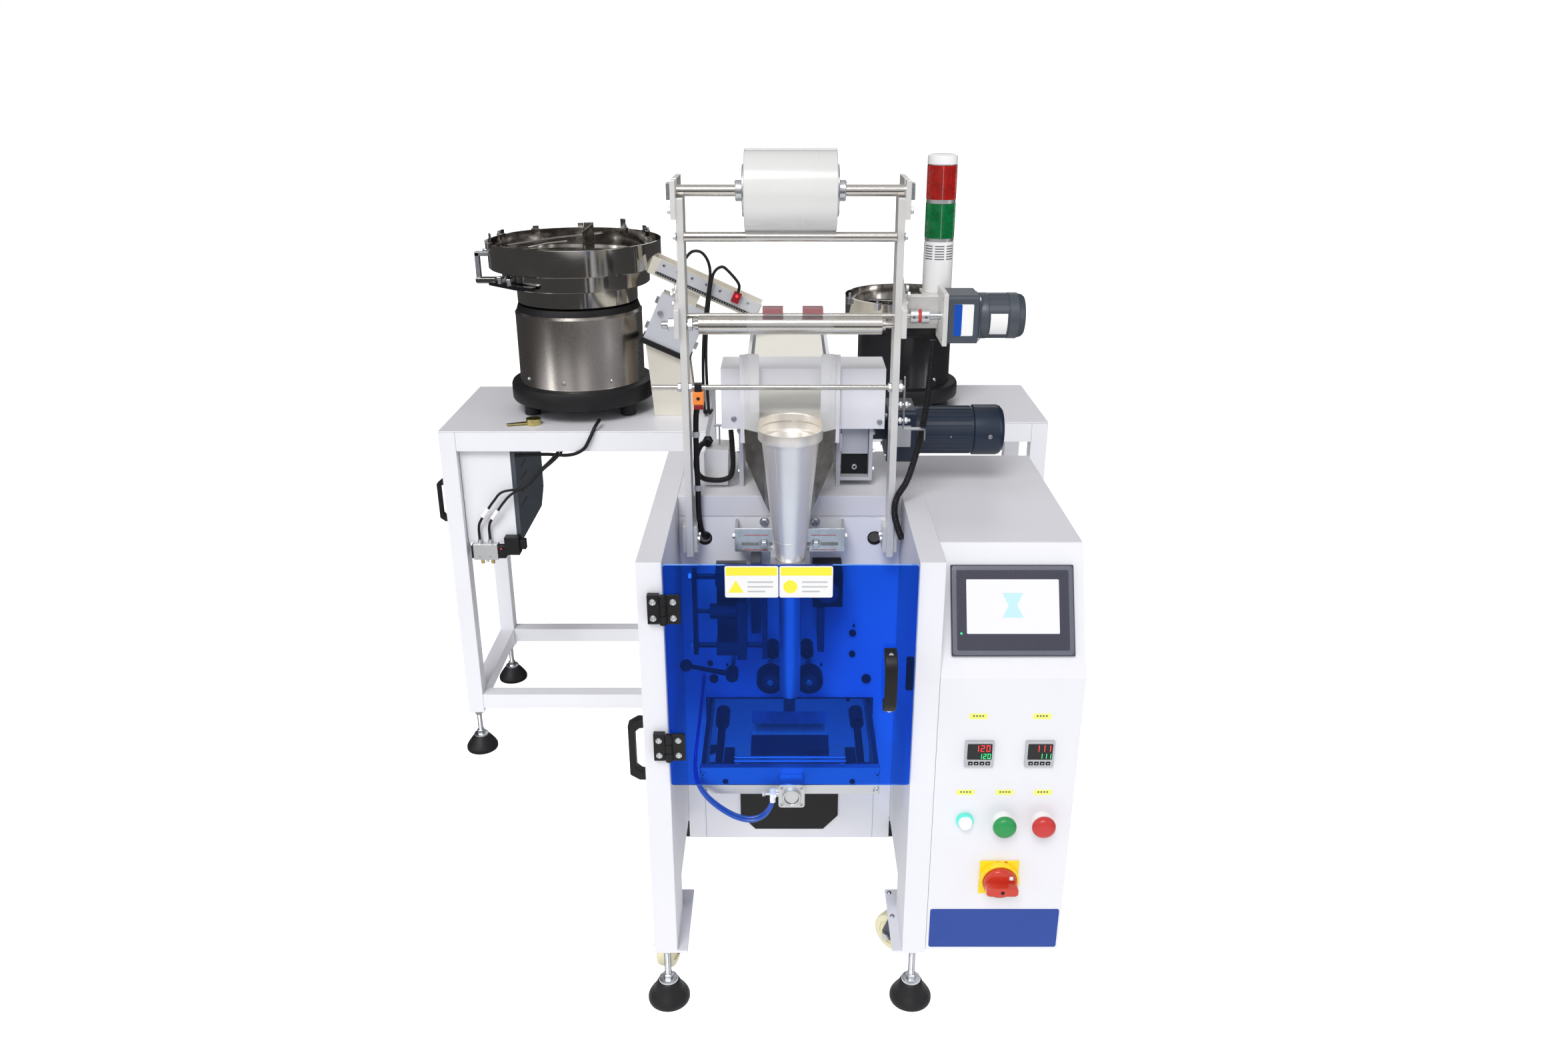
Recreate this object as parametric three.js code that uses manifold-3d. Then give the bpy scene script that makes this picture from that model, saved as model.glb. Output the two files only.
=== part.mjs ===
// Vertical form fill sealer with its control cabinet, film frame and two vibratory feeding benches.
// Millimetres, +Z up, +X to the operator's right, +Y to the back. The origin of the finished part is the
// middle of its base. While it is built, x = 0 is the sealer's centre plane, y = 0 is the front of its
// columns and z = 0 is the floor.

import * as THREE from 'three';
import { mergeVertices } from 'three/addons/utils/BufferGeometryUtils.js';
import Module from 'manifold-3d';

const wasm = await Module();
wasm.setup();

// Driving dimensions
const GAP = 0.3;
const BODY = { half: 242, inner: 201, depth: 560, top: 884, bottom: 122, arch: 200, column: 120, sheet: 2 };
const BASE = { inner: 183, length: 168, thick: 5 };
const PLATE = { front: 300, back: 306, bottom: 148, top: 842.7 };
const JAW = { half: 160, bottom: 300, top: 473, height: [420, 465], width: 70, z: 442 };
const CABINET = { left: 242.3, right: 478, bottom: 130, bend: 680, slope: 100, top: 877, back: 556 };
const PANEL = {
  lamp: [296.5, 408], start: [361, 408], stop: [427, 408], knob: [362, 290], heaters: [313, 413],
};
const HEATER = { z: 540, face: 48, body: 45 };
const HMI = { x: 360, width: 200, low: 36, high: 184, screen: [158, 70, 158], body: [185, 45, 175] };
const DOOR = { half: 199, front: -6, back: -1, bottom: 481, top: 882 };
const HINGE = { x: -200, y: -12, heights: [808, 557], half: 25, knuckle: 6, pin: 2.3 };
const POST = { inner: 172, outer: 184, bracket: 192, front: 255, back: 299.7, bottom: 784, top: 1405 };
const ROLL = { y: 278, z: 1415, radius: 65, core: 38, half: 74, shaft: 9.2 };
const GUIDE = { y: 256, z: 1345, radius: 8 };
const PULL = { y: 262, z: 1201, radius: 16, half: 152, journal: 6 };
const FEED = { y: 280.3, z: 1212, radius: 5 };
const EYE_ROD = { y: 262, z: 1094, radius: 4.5 };
const MOTOR = { plate: [250, 258], half: 40, z: 1213, y: 280 };
const TOWER = { x: 252, y: 352, radius: 25, bottom: 1241.3, top: 1466 };
const TUBE = { y: 200, radius: 19, bottom: 539, neck: 800, mouth: 1023, rim: 1041, lip: 1050 };
const YOKE = { y: 200, rods: [772, 638], piston: 705 };
const DRAW = { x: 36, z: 548, radius: 25 };
const LEVER = { x: -102, z: 600, ball: [-183, 617] };
const FOOT = { x: 222, y: 22, radius: 40, cone: 45 };
const CASTER = { x: 220, y: 124, radius: 37.5, axle: 52.5, trail: 26, top: 117.4 };
const BENCH = { top: 837, apron: 48, leg: 38, legBottom: 111 };
const LEFT_BENCH = { x: [-790, -186], y: [850, 1245] };
const RIGHT_BENCH = { x: [120, 600], y: [922, 1261] };
const LEFT_BOWL = { x: -490, y: 1057 };
const RIGHT_BOWL = { x: 277, y: 1096 };
const CHUTE = {
  start: [-318, 1172], tilt: THREE.MathUtils.degToRad(24.3), length: 266, y: [970, 1030], wall: 40,
};
const BELT = { y: [400, 1210], z: 978, radius: 38, half: 75, thick: 2 };
const FRAME = { inner: 84, outer: 92, front: 350, back: 1250, low: 925, high: 1000, foot: 450 };
const HEAD = { x: [-122, 169], y: [340, 432], z: [997, 1107] };

const FINISH = {
  paint: { color: 0xeff0f4, roughness: 0.45, metalness: 0 },
  steel: { color: 0xb8b2a8, roughness: 0.3, metalness: 1 },
  zinc: { color: 0xc9ccd0, roughness: 0.35, metalness: 1 },
  black: { color: 0x17181a, roughness: 0.5, metalness: 0 },
  rubber: { color: 0x1c1c1e, roughness: 0.85, metalness: 0 },
  acrylic: { color: 0x1a3ccc, roughness: 0.1, metalness: 0, transparent: true, opacity: 0.6 },
  film: { color: 0xeceae4, roughness: 0.3, metalness: 0 },
  red: { color: 0xd02020, roughness: 0.4, metalness: 0 },
  green: { color: 0x1f9a3c, roughness: 0.4, metalness: 0 },
  yellow: { color: 0xf5d21e, roughness: 0.5, metalness: 0 },
  navy: { color: 0x1e2d45, roughness: 0.5, metalness: 0 },
  slate: { color: 0x4b5058, roughness: 0.5, metalness: 0 },
  cream: { color: 0xe6e2b8, roughness: 0.5, metalness: 0 },
};

// Solid helpers

function signedVolume(points, triangles) {
  const corner = (i) => new THREE.Vector3().fromArray(points, 3 * triangles[i]);
  let volume = 0;
  for (let i = 0; i < triangles.length; i += 3) {
    volume += corner(i).dot(corner(i + 1).cross(corner(i + 2))) / 6;
  }
  return volume;
}

function solidOf(geometry) {
  const bare = new THREE.BufferGeometry();
  bare.setAttribute('position', geometry.getAttribute('position'));
  bare.setIndex(geometry.getIndex());
  const merged = mergeVertices(bare, 1e-4);
  const points = merged.getAttribute('position').array;
  const all = merged.getIndex().array;
  const triangles = [];
  for (let i = 0; i < all.length; i += 3) {
    const [a, b, c] = all.slice(i, i + 3);
    if (a !== b && b !== c && c !== a) {
      triangles.push(a, b, c);
    }
  }
  if (signedVolume(points, triangles) < 0) {
    triangles.reverse();
  }
  const mesh = new wasm.Mesh({
    numProp: 3,
    vertProperties: Float32Array.from(points),
    triVerts: Uint32Array.from(triangles),
  });
  return new wasm.Manifold(mesh);
}

const join = (first, ...others) => others.reduce((whole, next) => whole.add(next), first);
const cut = (body, ...tools) => tools.reduce((rest, tool) => rest.subtract(tool), body);

// The range from near to far on one side of the centre plane: side is 1 or -1.
const span = (side, near, far) => (side > 0 ? [near, far] : [-far, -near]);

function block([x0, x1], [y0, y1], [z0, z1]) {
  const geometry = new THREE.BoxGeometry(x1 - x0, y1 - y0, z1 - z0);
  geometry.translate((x0 + x1) / 2, (y0 + y1) / 2, (z0 + z1) / 2);
  return solidOf(geometry);
}

// Turns a geometry built about Y to run along the named axis, through (u, v) in the other two axes.
function alongAxis(geometry, axis, [u, v]) {
  if (axis === 'x') {
    geometry.rotateZ(-Math.PI / 2);
    geometry.translate(0, u, v);
  }
  if (axis === 'y') {
    geometry.translate(u, 0, v);
  }
  if (axis === 'z') {
    geometry.rotateX(Math.PI / 2);
    geometry.translate(u, v, 0);
  }
  return solidOf(geometry);
}

function rod(axis, [from, to], centre, radius, sides = 14) {
  const geometry = new THREE.CylinderGeometry(radius, radius, to - from, sides);
  geometry.translate(0, (from + to) / 2, 0);
  return alongAxis(geometry, axis, centre);
}

// A profile of [radius, place along the axis] points, turned about the axis.
function turned(axis, profile, centre, sides = 16) {
  const points = profile.map(([radius, along]) => new THREE.Vector2(radius, along));
  return alongAxis(new THREE.LatheGeometry(points, sides), axis, centre);
}

// An outline in the two other axes, in x, y, z order, extruded along the named axis.
function outline(axis, points, [from, to]) {
  const shape = new THREE.Shape(points.map(([u, v]) => new THREE.Vector2(u, v)));
  return extruded(axis, shape, [from, to]);
}

function extruded(axis, shape, [from, to]) {
  const settings = { depth: to - from, bevelEnabled: false, curveSegments: 8 };
  const geometry = new THREE.ExtrudeGeometry(shape, settings);
  const x = new THREE.Vector3(1, 0, 0);
  const y = new THREE.Vector3(0, 1, 0);
  const z = new THREE.Vector3(0, 0, 1);
  const bases = { x: [y, z, x], y: [x, z, y.clone().negate()], z: [x, y, z] };
  geometry.translate(0, 0, axis === 'y' ? -to : from);
  geometry.applyMatrix4(new THREE.Matrix4().makeBasis(...bases[axis]));
  return solidOf(geometry);
}

function pipe(points, radius, sides, steps) {
  const path = new THREE.CatmullRomCurve3(points.map((point) => new THREE.Vector3(...point)));
  const section = new THREE.Shape();
  for (let i = 0; i < sides; i += 1) {
    const angle = (2 * Math.PI * i) / sides;
    const place = [radius * Math.cos(angle), radius * Math.sin(angle)];
    if (i === 0) {
      section.moveTo(...place);
    } else {
      section.lineTo(...place);
    }
  }
  return solidOf(new THREE.ExtrudeGeometry(section, { steps, extrudePath: path, bevelEnabled: false }));
}

const machine = new THREE.Group();

function part(name, solid, finish, group = machine) {
  const { vertProperties, triVerts } = solid.getMesh();
  const geometry = new THREE.BufferGeometry();
  geometry.setAttribute('position', new THREE.BufferAttribute(vertProperties, 3));
  geometry.setIndex(new THREE.BufferAttribute(triVerts, 1));
  geometry.computeVertexNormals();
  const mesh = new THREE.Mesh(geometry, new THREE.MeshStandardMaterial(FINISH[finish]));
  mesh.name = name;
  group.add(mesh);
  return mesh;
}

// Sealer body: hollow side walls on base plates, the mechanism plate, the top and rear covers

function sideWall(name, side) {
  const { half, inner, depth, top, bottom, arch, column, sheet } = BODY;
  const edge = [
    [0, bottom], [column, bottom], [column, arch], [depth - column, arch],
    [depth - column, bottom], [depth, bottom], [depth, top], [0, top],
  ];
  const shell = cut(
    outline('x', edge, span(side, inner, half)),
    block(span(side, inner + sheet, half - sheet), [sheet, depth - sheet], [bottom - 1, top - sheet]),
  );
  const plateHeight = [bottom, bottom + BASE.thick];
  const casterPlate = [CASTER.y - 28, CASTER.y + 28];
  const solid = join(
    shell,
    block(span(side, BASE.inner, half), [0, BASE.length], plateHeight),
    block(span(side, BASE.inner, half), [depth - BASE.length, depth], plateHeight),
    block(span(side, CASTER.x - 30, CASTER.x + 22), casterPlate, [CASTER.top + GAP, bottom + 1]),
  );
  part(name, solid, 'paint');
}

function mechanismPlate() {
  const { front, back, bottom, top } = PLATE;
  const through = [front - 1, back + 1];
  const solid = cut(
    block([GAP - BODY.inner, BODY.inner - GAP], [front, back], [bottom, top]),
    block([-JAW.half, JAW.half], through, [JAW.bottom, JAW.top]),
    rod('y', through, [-154, 803], 13),
    rod('y', through, [154, 803], 13),
    rod('y', through, [-DRAW.x, DRAW.z], 6.6),
    rod('y', through, [DRAW.x, DRAW.z], 6.6),
    rod('y', through, [LEVER.x, LEVER.z], 5.6),
  );
  part('mechanism_plate', solid, 'paint');
}

function covers() {
  const across = [GAP - BODY.inner, BODY.inner - GAP];
  const lip = PLATE.top + GAP;
  const cover = join(
    block(across, [PLATE.front, BODY.depth], [BODY.top - 3, BODY.top]),
    block(across, [PLATE.front, PLATE.front + 3], [lip, BODY.top]),
  );
  part('top_cover', cover, 'paint');
  const rear = block(across, [BODY.depth - 3, BODY.depth], [BODY.arch + 5, BODY.top - 3 - GAP]);
  part('rear_cover', rear, 'paint');
}

// Outfeed guard: a black plate with chamfered lower corners, under the jaws, hemmed along its top

function outfeedGuard() {
  const face = PLATE.front - GAP;
  const plate = [[-97, 330], [97, 330], [97, 203], [68, 171], [-68, 171], [-97, 203]];
  const solid = join(outline('y', plate, [face - 3, face]), block([-97, 97], [face - 12, face], [327, 330]));
  part('outfeed_guard', solid, 'black');
}

// Control cabinet with its sloping panel

// The point [y, z] at s along the sloping panel from its lower edge and out from its face.
function slopePoint(s, out) {
  const rise = CABINET.top - CABINET.bend;
  const length = Math.hypot(CABINET.slope, rise);
  const [ty, tz] = [CABINET.slope / length, rise / length];
  return [s * ty - out * tz, CABINET.bend + s * tz + out * ty];
}

const slopeBlock = (x, [low, high], [inside, outside]) => outline('x', [
  slopePoint(low, inside), slopePoint(high, inside), slopePoint(high, outside), slopePoint(low, outside),
], x);

const centred = (middle, width) => [middle - width / 2, middle + width / 2];

function controlCabinet() {
  const { left, right, bottom, bend, slope, top, back } = CABINET;
  const side = (inset) => [
    [inset, bottom + inset], [back - inset, bottom + inset], [back - inset, top - inset],
    [slope + inset / 2, top - inset], [inset, bend - inset / 4],
  ];
  const shell = cut(
    outline('x', side(0), [left, right]),
    outline('x', side(BODY.sheet), [left - 1, right - BODY.sheet]),
    slopeBlock(centred(HMI.x, HMI.body[0] + 1), [HMI.body[1] - 0.5, HMI.body[2] + 0.5], [-8, 2]),
  );
  const cutouts = PANEL.heaters.map((x) => block(
    centred(x, HEATER.body + 0.8), [-1, 4], centred(HEATER.z, HEATER.body + 0.8),
  ));
  const places = [PANEL.lamp, PANEL.start, PANEL.stop, PANEL.knob];
  const holes = places.map((place) => rod('y', [-1, 4], place, 11.2));
  part('control_cabinet', cut(shell, ...cutouts, ...holes), 'paint');
}

function hmiPanel() {
  const [bodyWidth, bodyLow, bodyHigh] = HMI.body;
  const [screenWidth, screenLow, screenHigh] = HMI.screen;
  const solid = cut(
    join(
      slopeBlock(centred(HMI.x, HMI.width), [HMI.low, HMI.high], [GAP, 6]),
      slopeBlock(centred(HMI.x, bodyWidth), [bodyLow, bodyHigh], [-32, 1]),
    ),
    slopeBlock(centred(HMI.x, screenWidth), [screenLow, screenHigh], [5.2, 7]),
  );
  part('hmi_panel', solid, 'slate');
}

function panelControls() {
  PANEL.heaters.forEach((x, i) => {
    const solid = join(
      block(centred(x, HEATER.face), [-6, -GAP], centred(HEATER.z, HEATER.face)),
      block(centred(x, HEATER.body), [-1, 60], centred(HEATER.z, HEATER.body)),
    );
    part(['temperature_controller_left', 'temperature_controller_right'][i], solid, 'black');
  });
  const neck = 10.5;
  const lamp = [
    [0, -20], [8, -19], [12.5, -15], [14.5, -6], [14.5, -GAP], [neck, -GAP], [neck, 30], [0, 30],
  ];
  part('pilot_lamp', turned('y', lamp, PANEL.lamp), 'green');
  const mushroom = [
    [0, -32], [12, -31], [18.5, -27], [20, -22], [18, -16], [neck, -13.5], [neck, 25], [0, 25],
  ];
  part('start_button', turned('y', mushroom, PANEL.start), 'green');
  part('stop_button', turned('y', mushroom, PANEL.stop), 'red');

  const [x, z] = PANEL.knob;
  const base = cut(
    join(
      block(centred(x, 68), [-3.3, -GAP], centred(z, 68)),
      rod('y', [-1, 35], PANEL.knob, neck),
    ),
    rod('y', [-5, 12], PANEL.knob, 6.6),
  );
  part('switch_base', base, 'yellow');
  const knob = join(
    rod('y', [-24, -3.6], PANEL.knob, 30, 20),
    block(centred(x, 58), [-45, -23], centred(z, 16)),
    rod('y', [-4, 9], PANEL.knob, 6),
  );
  part('switch_knob', knob, 'red');
}

// Guard door: a clear sheet on two hinges, with a bridge handle

function hinges() {
  const { x, y, heights, half, knuckle, pin } = HINGE;
  const middle = 8;
  const play = 0.5;
  const sheet = block([-DOOR.half, DOOR.half], [DOOR.front, DOOR.back], [DOOR.bottom, DOOR.top]);
  const leaves = [];
  const bores = [];
  heights.forEach((height, i) => {
    const ends = [[height - half, height - middle - play], [height + middle + play, height + half]];
    leaves.push(block([x + 2.5, x + 27], [y + 0.5, DOOR.front + 0.5], [height - half, height + half]));
    ends.forEach((end) => {
      leaves.push(rod('z', end, [x, y], knuckle, 12));
      bores.push(rod('z', [end[0] - 1, end[1] + 1], [x, y], pin + play, 8));
    });
    bores.push(rod('z', [height - middle - play, height + middle + play], [x, y], knuckle + play, 12));
    const fixed = join(
      block([x - 25, x - knuckle - play], [y + 0.5, -GAP], [height - half, height + half]),
      block([x - knuckle - 1, x], [y + 0.5, y + 5], [height - middle, height + middle]),
      rod('z', [height - middle, height + middle], [x, y], knuckle, 12),
      rod('z', [height - half, height + half], [x, y], pin, 8),
    );
    part(['hinge_upper', 'hinge_lower'][i], fixed, 'black');
  });
  part('guard_door', cut(join(sheet, ...leaves), ...bores), 'acrylic');
}

// The outline of a bridge handle that stands out by a depth from the place of its two roots.
function bridge(low, high, depth, root, thick) {
  const shoulder = root - 0.7 * depth;
  const outer = root - depth;
  const inner = outer + thick;
  const corner = 4 + 0.3 * depth;
  return [
    [root, low], [shoulder, low + 4], [outer, low + corner],
    [outer, high - corner], [shoulder, high - 4], [root, high],
    [root, high - 2 * thick], [shoulder, high - 2.4 * thick], [inner, high - 3 * thick],
    [inner, low + 3 * thick], [shoulder, low + 2.4 * thick], [root, low + 2 * thick],
  ];
}

function doorHandle() {
  part('door_handle', outline('x', bridge(630, 740, 35, DOOR.front - GAP, 8), [149, 169]), 'black');
}

// Film frame: two posts with brackets carry the film roll, the rods and the driven rollers

function postSolid(side) {
  const plateX = span(side, POST.outer - 0.5, POST.bracket);
  const holesX = span(side, POST.inner - 1, POST.bracket + 1);
  const roller = [[245, 1181], [380, 1181], [380, 1269], [330, 1269], [245, 1228]];
  const top = [[250, 1372], [340, 1372], [370, 1402], [370, 1433], [250, 1433]];
  const notch = ROLL.shaft + 0.6;
  return cut(
    join(
      block(span(side, POST.inner, POST.outer), [POST.front, POST.back], [POST.bottom, POST.top]),
      block(span(side, POST.inner - 7, POST.outer + 7), [POST.front + 7, POST.back], [790, 840]),
      outline('x', roller, plateX),
      outline('x', top, plateX),
    ),
    rod('x', holesX, [ROLL.y, ROLL.z], notch, 24),
    block(holesX, [ROLL.y - notch, ROLL.y + notch], [ROLL.z, 1440]),
    rod('x', holesX, [PULL.y, PULL.z], PULL.journal + 0.6, 16),
    rod('x', holesX, [FEED.y, FEED.z], FEED.radius + 0.6, 16),
    rod('x', holesX, [EYE_ROD.y, EYE_ROD.z], EYE_ROD.radius + GAP, 12),
  );
}

function posts() {
  part('post_left', postSolid(-1), 'paint');
  const arm = block([POST.bracket - 1, MOTOR.plate[0] + 1], [305, 323], [1186, 1241]);
  const motorPlate = cut(
    block(MOTOR.plate, centred(MOTOR.y, 86), centred(MOTOR.z, 86)),
    rod('x', [MOTOR.plate[0] - 1, MOTOR.plate[1] + 1], [FEED.y, FEED.z], 8),
  );
  const shelf = block(centred(TOWER.x, 54), [322, TOWER.y + 28], [1236, 1241]);
  part('post_right', join(postSolid(1), arm, motorPlate, shelf), 'paint');
}

function filmRoll() {
  const centre = [ROLL.y, ROLL.z];
  const discs = [-1, 1].flatMap((side) => [
    rod('x', span(side, ROLL.half + GAP, ROLL.half + 3.6), centre, 41, 24),
    rod('x', span(side, ROLL.half + 3, ROLL.half + 14.6), centre, 16.5),
    rod('x', span(side, ROLL.half - 12, ROLL.half + 1), centre, ROLL.core - 0.8, 24),
  ]);
  part('roll_shaft', join(rod('x', [-196, 196], centre, ROLL.shaft), ...discs), 'zinc');
  const roll = cut(
    rod('x', [-ROLL.half, ROLL.half], centre, ROLL.radius, 40),
    rod('x', [-ROLL.half - 1, ROLL.half + 1], centre, ROLL.core, 24),
  );
  part('film_roll', roll, 'film');
}

function filmRollers() {
  const between = [GAP - POST.inner, POST.inner - GAP];
  part('guide_rod', rod('x', between, [GUIDE.y, GUIDE.z], GUIDE.radius), 'steel');

  const pull = [PULL.y, PULL.z];
  const pullRoller = join(
    rod('x', [-PULL.half, PULL.half], pull, PULL.radius, 24),
    rod('x', [-178, 178], pull, PULL.journal, 12),
  );
  part('pull_roller', pullRoller, 'steel');

  const feed = [FEED.y, FEED.z];
  const feedShaft = join(
    rod('x', [-182, 201], feed, FEED.radius, 12),
    rod('x', [200, 232], feed, 12.5, 20),
    rod('x', [231, 257], feed, 6, 12),
  );
  part('feed_shaft', feedShaft, 'steel');

  const eyeRod = [EYE_ROD.y, EYE_ROD.z];
  const nuts = [-1, 1].flatMap((side) => [
    rod('x', span(side, POST.outer + GAP, POST.outer + 6), eyeRod, 8, 6),
    rod('x', span(side, POST.inner - 6, POST.inner - GAP), eyeRod, 8, 6),
  ]);
  const eye = join(
    block([-165, -147], [255, 285], [1056, 1086]),
    block([-162, -150], [EYE_ROD.y - 7, EYE_ROD.y + 7], [1085, 1103]),
  );
  part('photo_eye_rod', join(rod('x', [-234, 194], eyeRod, EYE_ROD.radius, 10), ...nuts, eye), 'zinc');
}

function feedMotor() {
  const { plate, half, y, z } = MOTOR;
  const solid = join(
    block([plate[1] + GAP, 313], [y - half, y + half], [z - half, z + half]),
    rod('x', [312, 388], [y, z], 37, 24),
  );
  part('feed_motor', solid, 'slate');
}

function towerLight() {
  const { x, y, radius, bottom, top } = TOWER;
  const profile = [[0, bottom], [radius, bottom], [radius, top - 5], [radius - 6, top], [0, top]];
  part('tower_light', turned('z', profile, [x, y], 24), 'paint');
}

function motorConduit() {
  const route = [
    [243, 296, 1168], [241, 294, 1120], [236, 290, 1060], [227, 283, 1000],
    [215, 272, 955], [203, 259, 925], [195, 251, 896], [193, 249, 870], [193, 248, 825],
  ];
  part('motor_conduit', pipe(route, 6, 8, 22), 'black');
}

// Forming set: hopper and tube, the forming collar behind it and the bracket that holds them

function hopperTube() {
  const { y, radius, bottom, neck, mouth, rim, lip } = TUBE;
  const wall = 1.5;
  const outside = [
    [radius, bottom], [radius, neck - 4], [23.5, neck], [48, mouth], [48, rim], [54, lip],
  ];
  const inside = outside.map(([r, z]) => [r - wall, z]).reverse();
  part('hopper_tube', turned('z', [...outside, ...inside, outside[0]], [0, y], 24), 'steel');
}

function formingCollar() {
  const sheet = 2;
  const fold = [[-80, 292], [-44, 256], [44, 256], [80, 292]];
  const back = fold.map(([x, y]) => [x * 0.99, y + sheet]).reverse();
  const front = [
    [-24, 845], [24, 845], [78, 955], [80, 1011], [50, 1013], [-50, 1013], [-80, 1011], [-78, 955],
  ];
  const solid = outline('z', [...fold, ...back], [840, 1050]).intersect(outline('y', front, [240, 300]));
  part('forming_collar', solid, 'steel');
}

function tubeBracket() {
  const height = [797, 841];
  const seat = cut(
    block([-34, 34], [168, 252], [802, 806]),
    rod('z', [801, 807], [0, TUBE.y], 25.4, 16),
  );
  const solid = join(
    block([-97.5, 97.5], [250, 254], height),
    block([-97.5, -93], [250, PLATE.front - GAP], height),
    block([93, 97.5], [250, PLATE.front - GAP], height),
    seat,
  );
  part('tube_bracket', solid, 'zinc');
}

// Sealing and drawing mechanism in the recess

function verticalSealer() {
  const { y, rods, piston } = YOKE;
  const tall = [616, 788];
  const yoke = join(
    block([-171, -163], [190, 210], [623, 785]),
    block([-49, -40], [188, 212], tall),
    rod('x', [-164, -41], [y, rods[0]], 5, 12),
    rod('x', [-164, -41], [y, rods[1]], 5, 12),
    rod('x', [-164, -100], [y, piston], 4, 12),
  );
  part('seal_yoke', yoke, 'steel');

  const bores = rods.map((z) => rod('x', [-131, -76], [y, z], 5.6, 12));
  const housing = cut(
    join(
      block([-130, -77], [220, 232], tall),
      block([-130, -93], [184, 221], [625, 651]),
      block([-130, -93], [184, 221], [759, 785]),
      block([-93.5, -77], [184, 221], [616, 729]),
      rod('x', [-141, -92], [y, piston], 14),
      block([-115, -95], [231, PLATE.front - GAP], [690, 720]),
    ),
    ...bores,
    rod('x', [-142, -79.5], [y, piston], 4.6, 12),
  );
  part('seal_cylinder', housing, 'zinc');
}

function drawWheels() {
  [-1, 1].forEach((side) => {
    const centre = [side * DRAW.x, DRAW.z];
    const solid = join(
      rod('y', [226, 252], centre, DRAW.radius, 20),
      rod('y', [251, 330], centre, 6, 10),
    );
    part(side < 0 ? 'draw_wheel_left' : 'draw_wheel_right', solid, 'rubber');
  });
}

function releaseLever() {
  const { x, z, ball } = LEVER;
  const knob = new THREE.SphereGeometry(11, 12, 8);
  knob.translate(ball[0], 162, ball[1]);
  const arm = [[x, z - 5], [x, z + 5], [ball[0], ball[1] + 3.5], [ball[0], ball[1] - 3.5]];
  const solid = join(
    rod('y', [150, 176], [x, z], 11),
    outline('y', arm, [158, 166]),
    rod('y', [175, 312], [x, z], 5, 12),
    solidOf(knob),
  );
  part('release_lever', solid, 'black');
}

function jaws() {
  const { height, width, z } = JAW;
  const ring = [424, 468];
  const spacers = [-45, 45].map((x) => rod('y', [71, 131], [x, z], 7, 16));
  const frame = join(
    block([-156, 156], [60, 72], [418, 473]),
    block([-155, -147], [71, 421], ring),
    block([147, 155], [71, 421], ring),
    block([-156, 156], [420, 432], [423, 469]),
    ...spacers,
    block([-width, width], [130, 180], height),
  );
  part('jaw_frame', frame, 'zinc');
  const rear = join(
    block([-width, width], [220, 262], height),
    rod('y', [261, 400], [0, z], 12),
  );
  part('rear_jaw', rear, 'zinc');
  const knife = join(
    block([-20, 25], [20, 60 - GAP], [415, 460]),
    rod('y', [12, 21], [2.5, 437.5], 14),
  );
  part('knife_cylinder', knife, 'zinc');
}

// Levelling feet and casters under the sealer

function levellingFeet() {
  const { x, y, radius, cone } = FOOT;
  const profile = [
    [0, 0], [radius, 0], [radius, 9], [17, cone], [6, cone], [6, BODY.bottom - GAP], [0, BODY.bottom - GAP],
  ];
  const places = {
    foot_front_left: [-x, y],
    foot_front_right: [x, y],
    foot_rear_left: [-x, BODY.depth - y],
    foot_rear_right: [x, BODY.depth - y],
  };
  for (const [name, place] of Object.entries(places)) {
    part(name, turned('z', profile, place, 16), 'rubber');
  }
}

// A caster about its swivel axis, with the wheel trailing along +Y, turned by an angle about Z.
function caster(name, x, turn) {
  const { y, radius, axle, trail, top } = CASTER;
  const group = new THREE.Group();
  group.position.set(x, y, 0);
  group.rotation.z = turn;
  machine.add(group);
  const leg = [
    [-18, top - 8], [18, top - 8], [trail + 12, axle + 6], [trail + 10, axle - 8], [trail - 10, axle - 8],
    [trail - 14, axle + 8],
  ];
  const fork = join(
    rod('z', [top - 9, top], [0, 0], 24, 16),
    block([-22, 22], [-18, 18], [top - 12, top - 8]),
    outline('x', leg, [-22, -19]),
    outline('x', leg, [19, 22]),
    rod('x', [-25, 25], [trail, axle], 4, 10),
  );
  part(`${name}_fork`, fork, 'slate', group);
  const wheel = cut(
    rod('x', [-15, 15], [trail, axle], radius, 28),
    rod('x', [-16, 16], [trail, axle], 4.5, 10),
  );
  part(`${name}_wheel`, wheel, 'cream', group);
}

// Feeding benches

function benchFoot(place) {
  const { legBottom } = BENCH;
  const { radius } = FOOT;
  const profile = [
    [0, 0], [radius, 0], [radius, 9], [15, 42], [6, 42], [6, legBottom + 1], [0, legBottom + 1],
  ];
  return turned('z', profile, place, 10);
}

function benchSolid({ x: [x0, x1], y: [y0, y1] }) {
  const { top, apron, leg, legBottom } = BENCH;
  const apronZ = [top - apron, top];
  const stretcherZ = [123, 161];
  const sheet = 3;
  const pieces = [block([x0, x1], [y0, y1], [top - sheet, top])];
  for (const [a, b] of [[x0, x0 + leg], [x1 - leg, x1]]) {
    pieces.push(block(a === x0 ? [a, a + sheet] : [b - sheet, b], [y0, y1], apronZ));
    pieces.push(block([a, b], [y0 + 1, y1 - 1], stretcherZ));
    for (const [c, d] of [[y0, y0 + leg], [y1 - leg, y1]]) {
      pieces.push(block([a, b], [c, d], [legBottom, top - 1]));
      pieces.push(benchFoot([(a + b) / 2, (c + d) / 2]));
    }
  }
  for (const [c, d] of [[y0, y0 + sheet], [y1 - sheet, y1]]) {
    pieces.push(block([x0, x1], [c, d], apronZ));
  }
  for (const [c, d] of [[y0, y0 + leg], [y1 - leg, y1]]) {
    pieces.push(block([x0 + 1, x1 - 1], [c, d], stretcherZ));
  }
  return join(...pieces);
}

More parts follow.
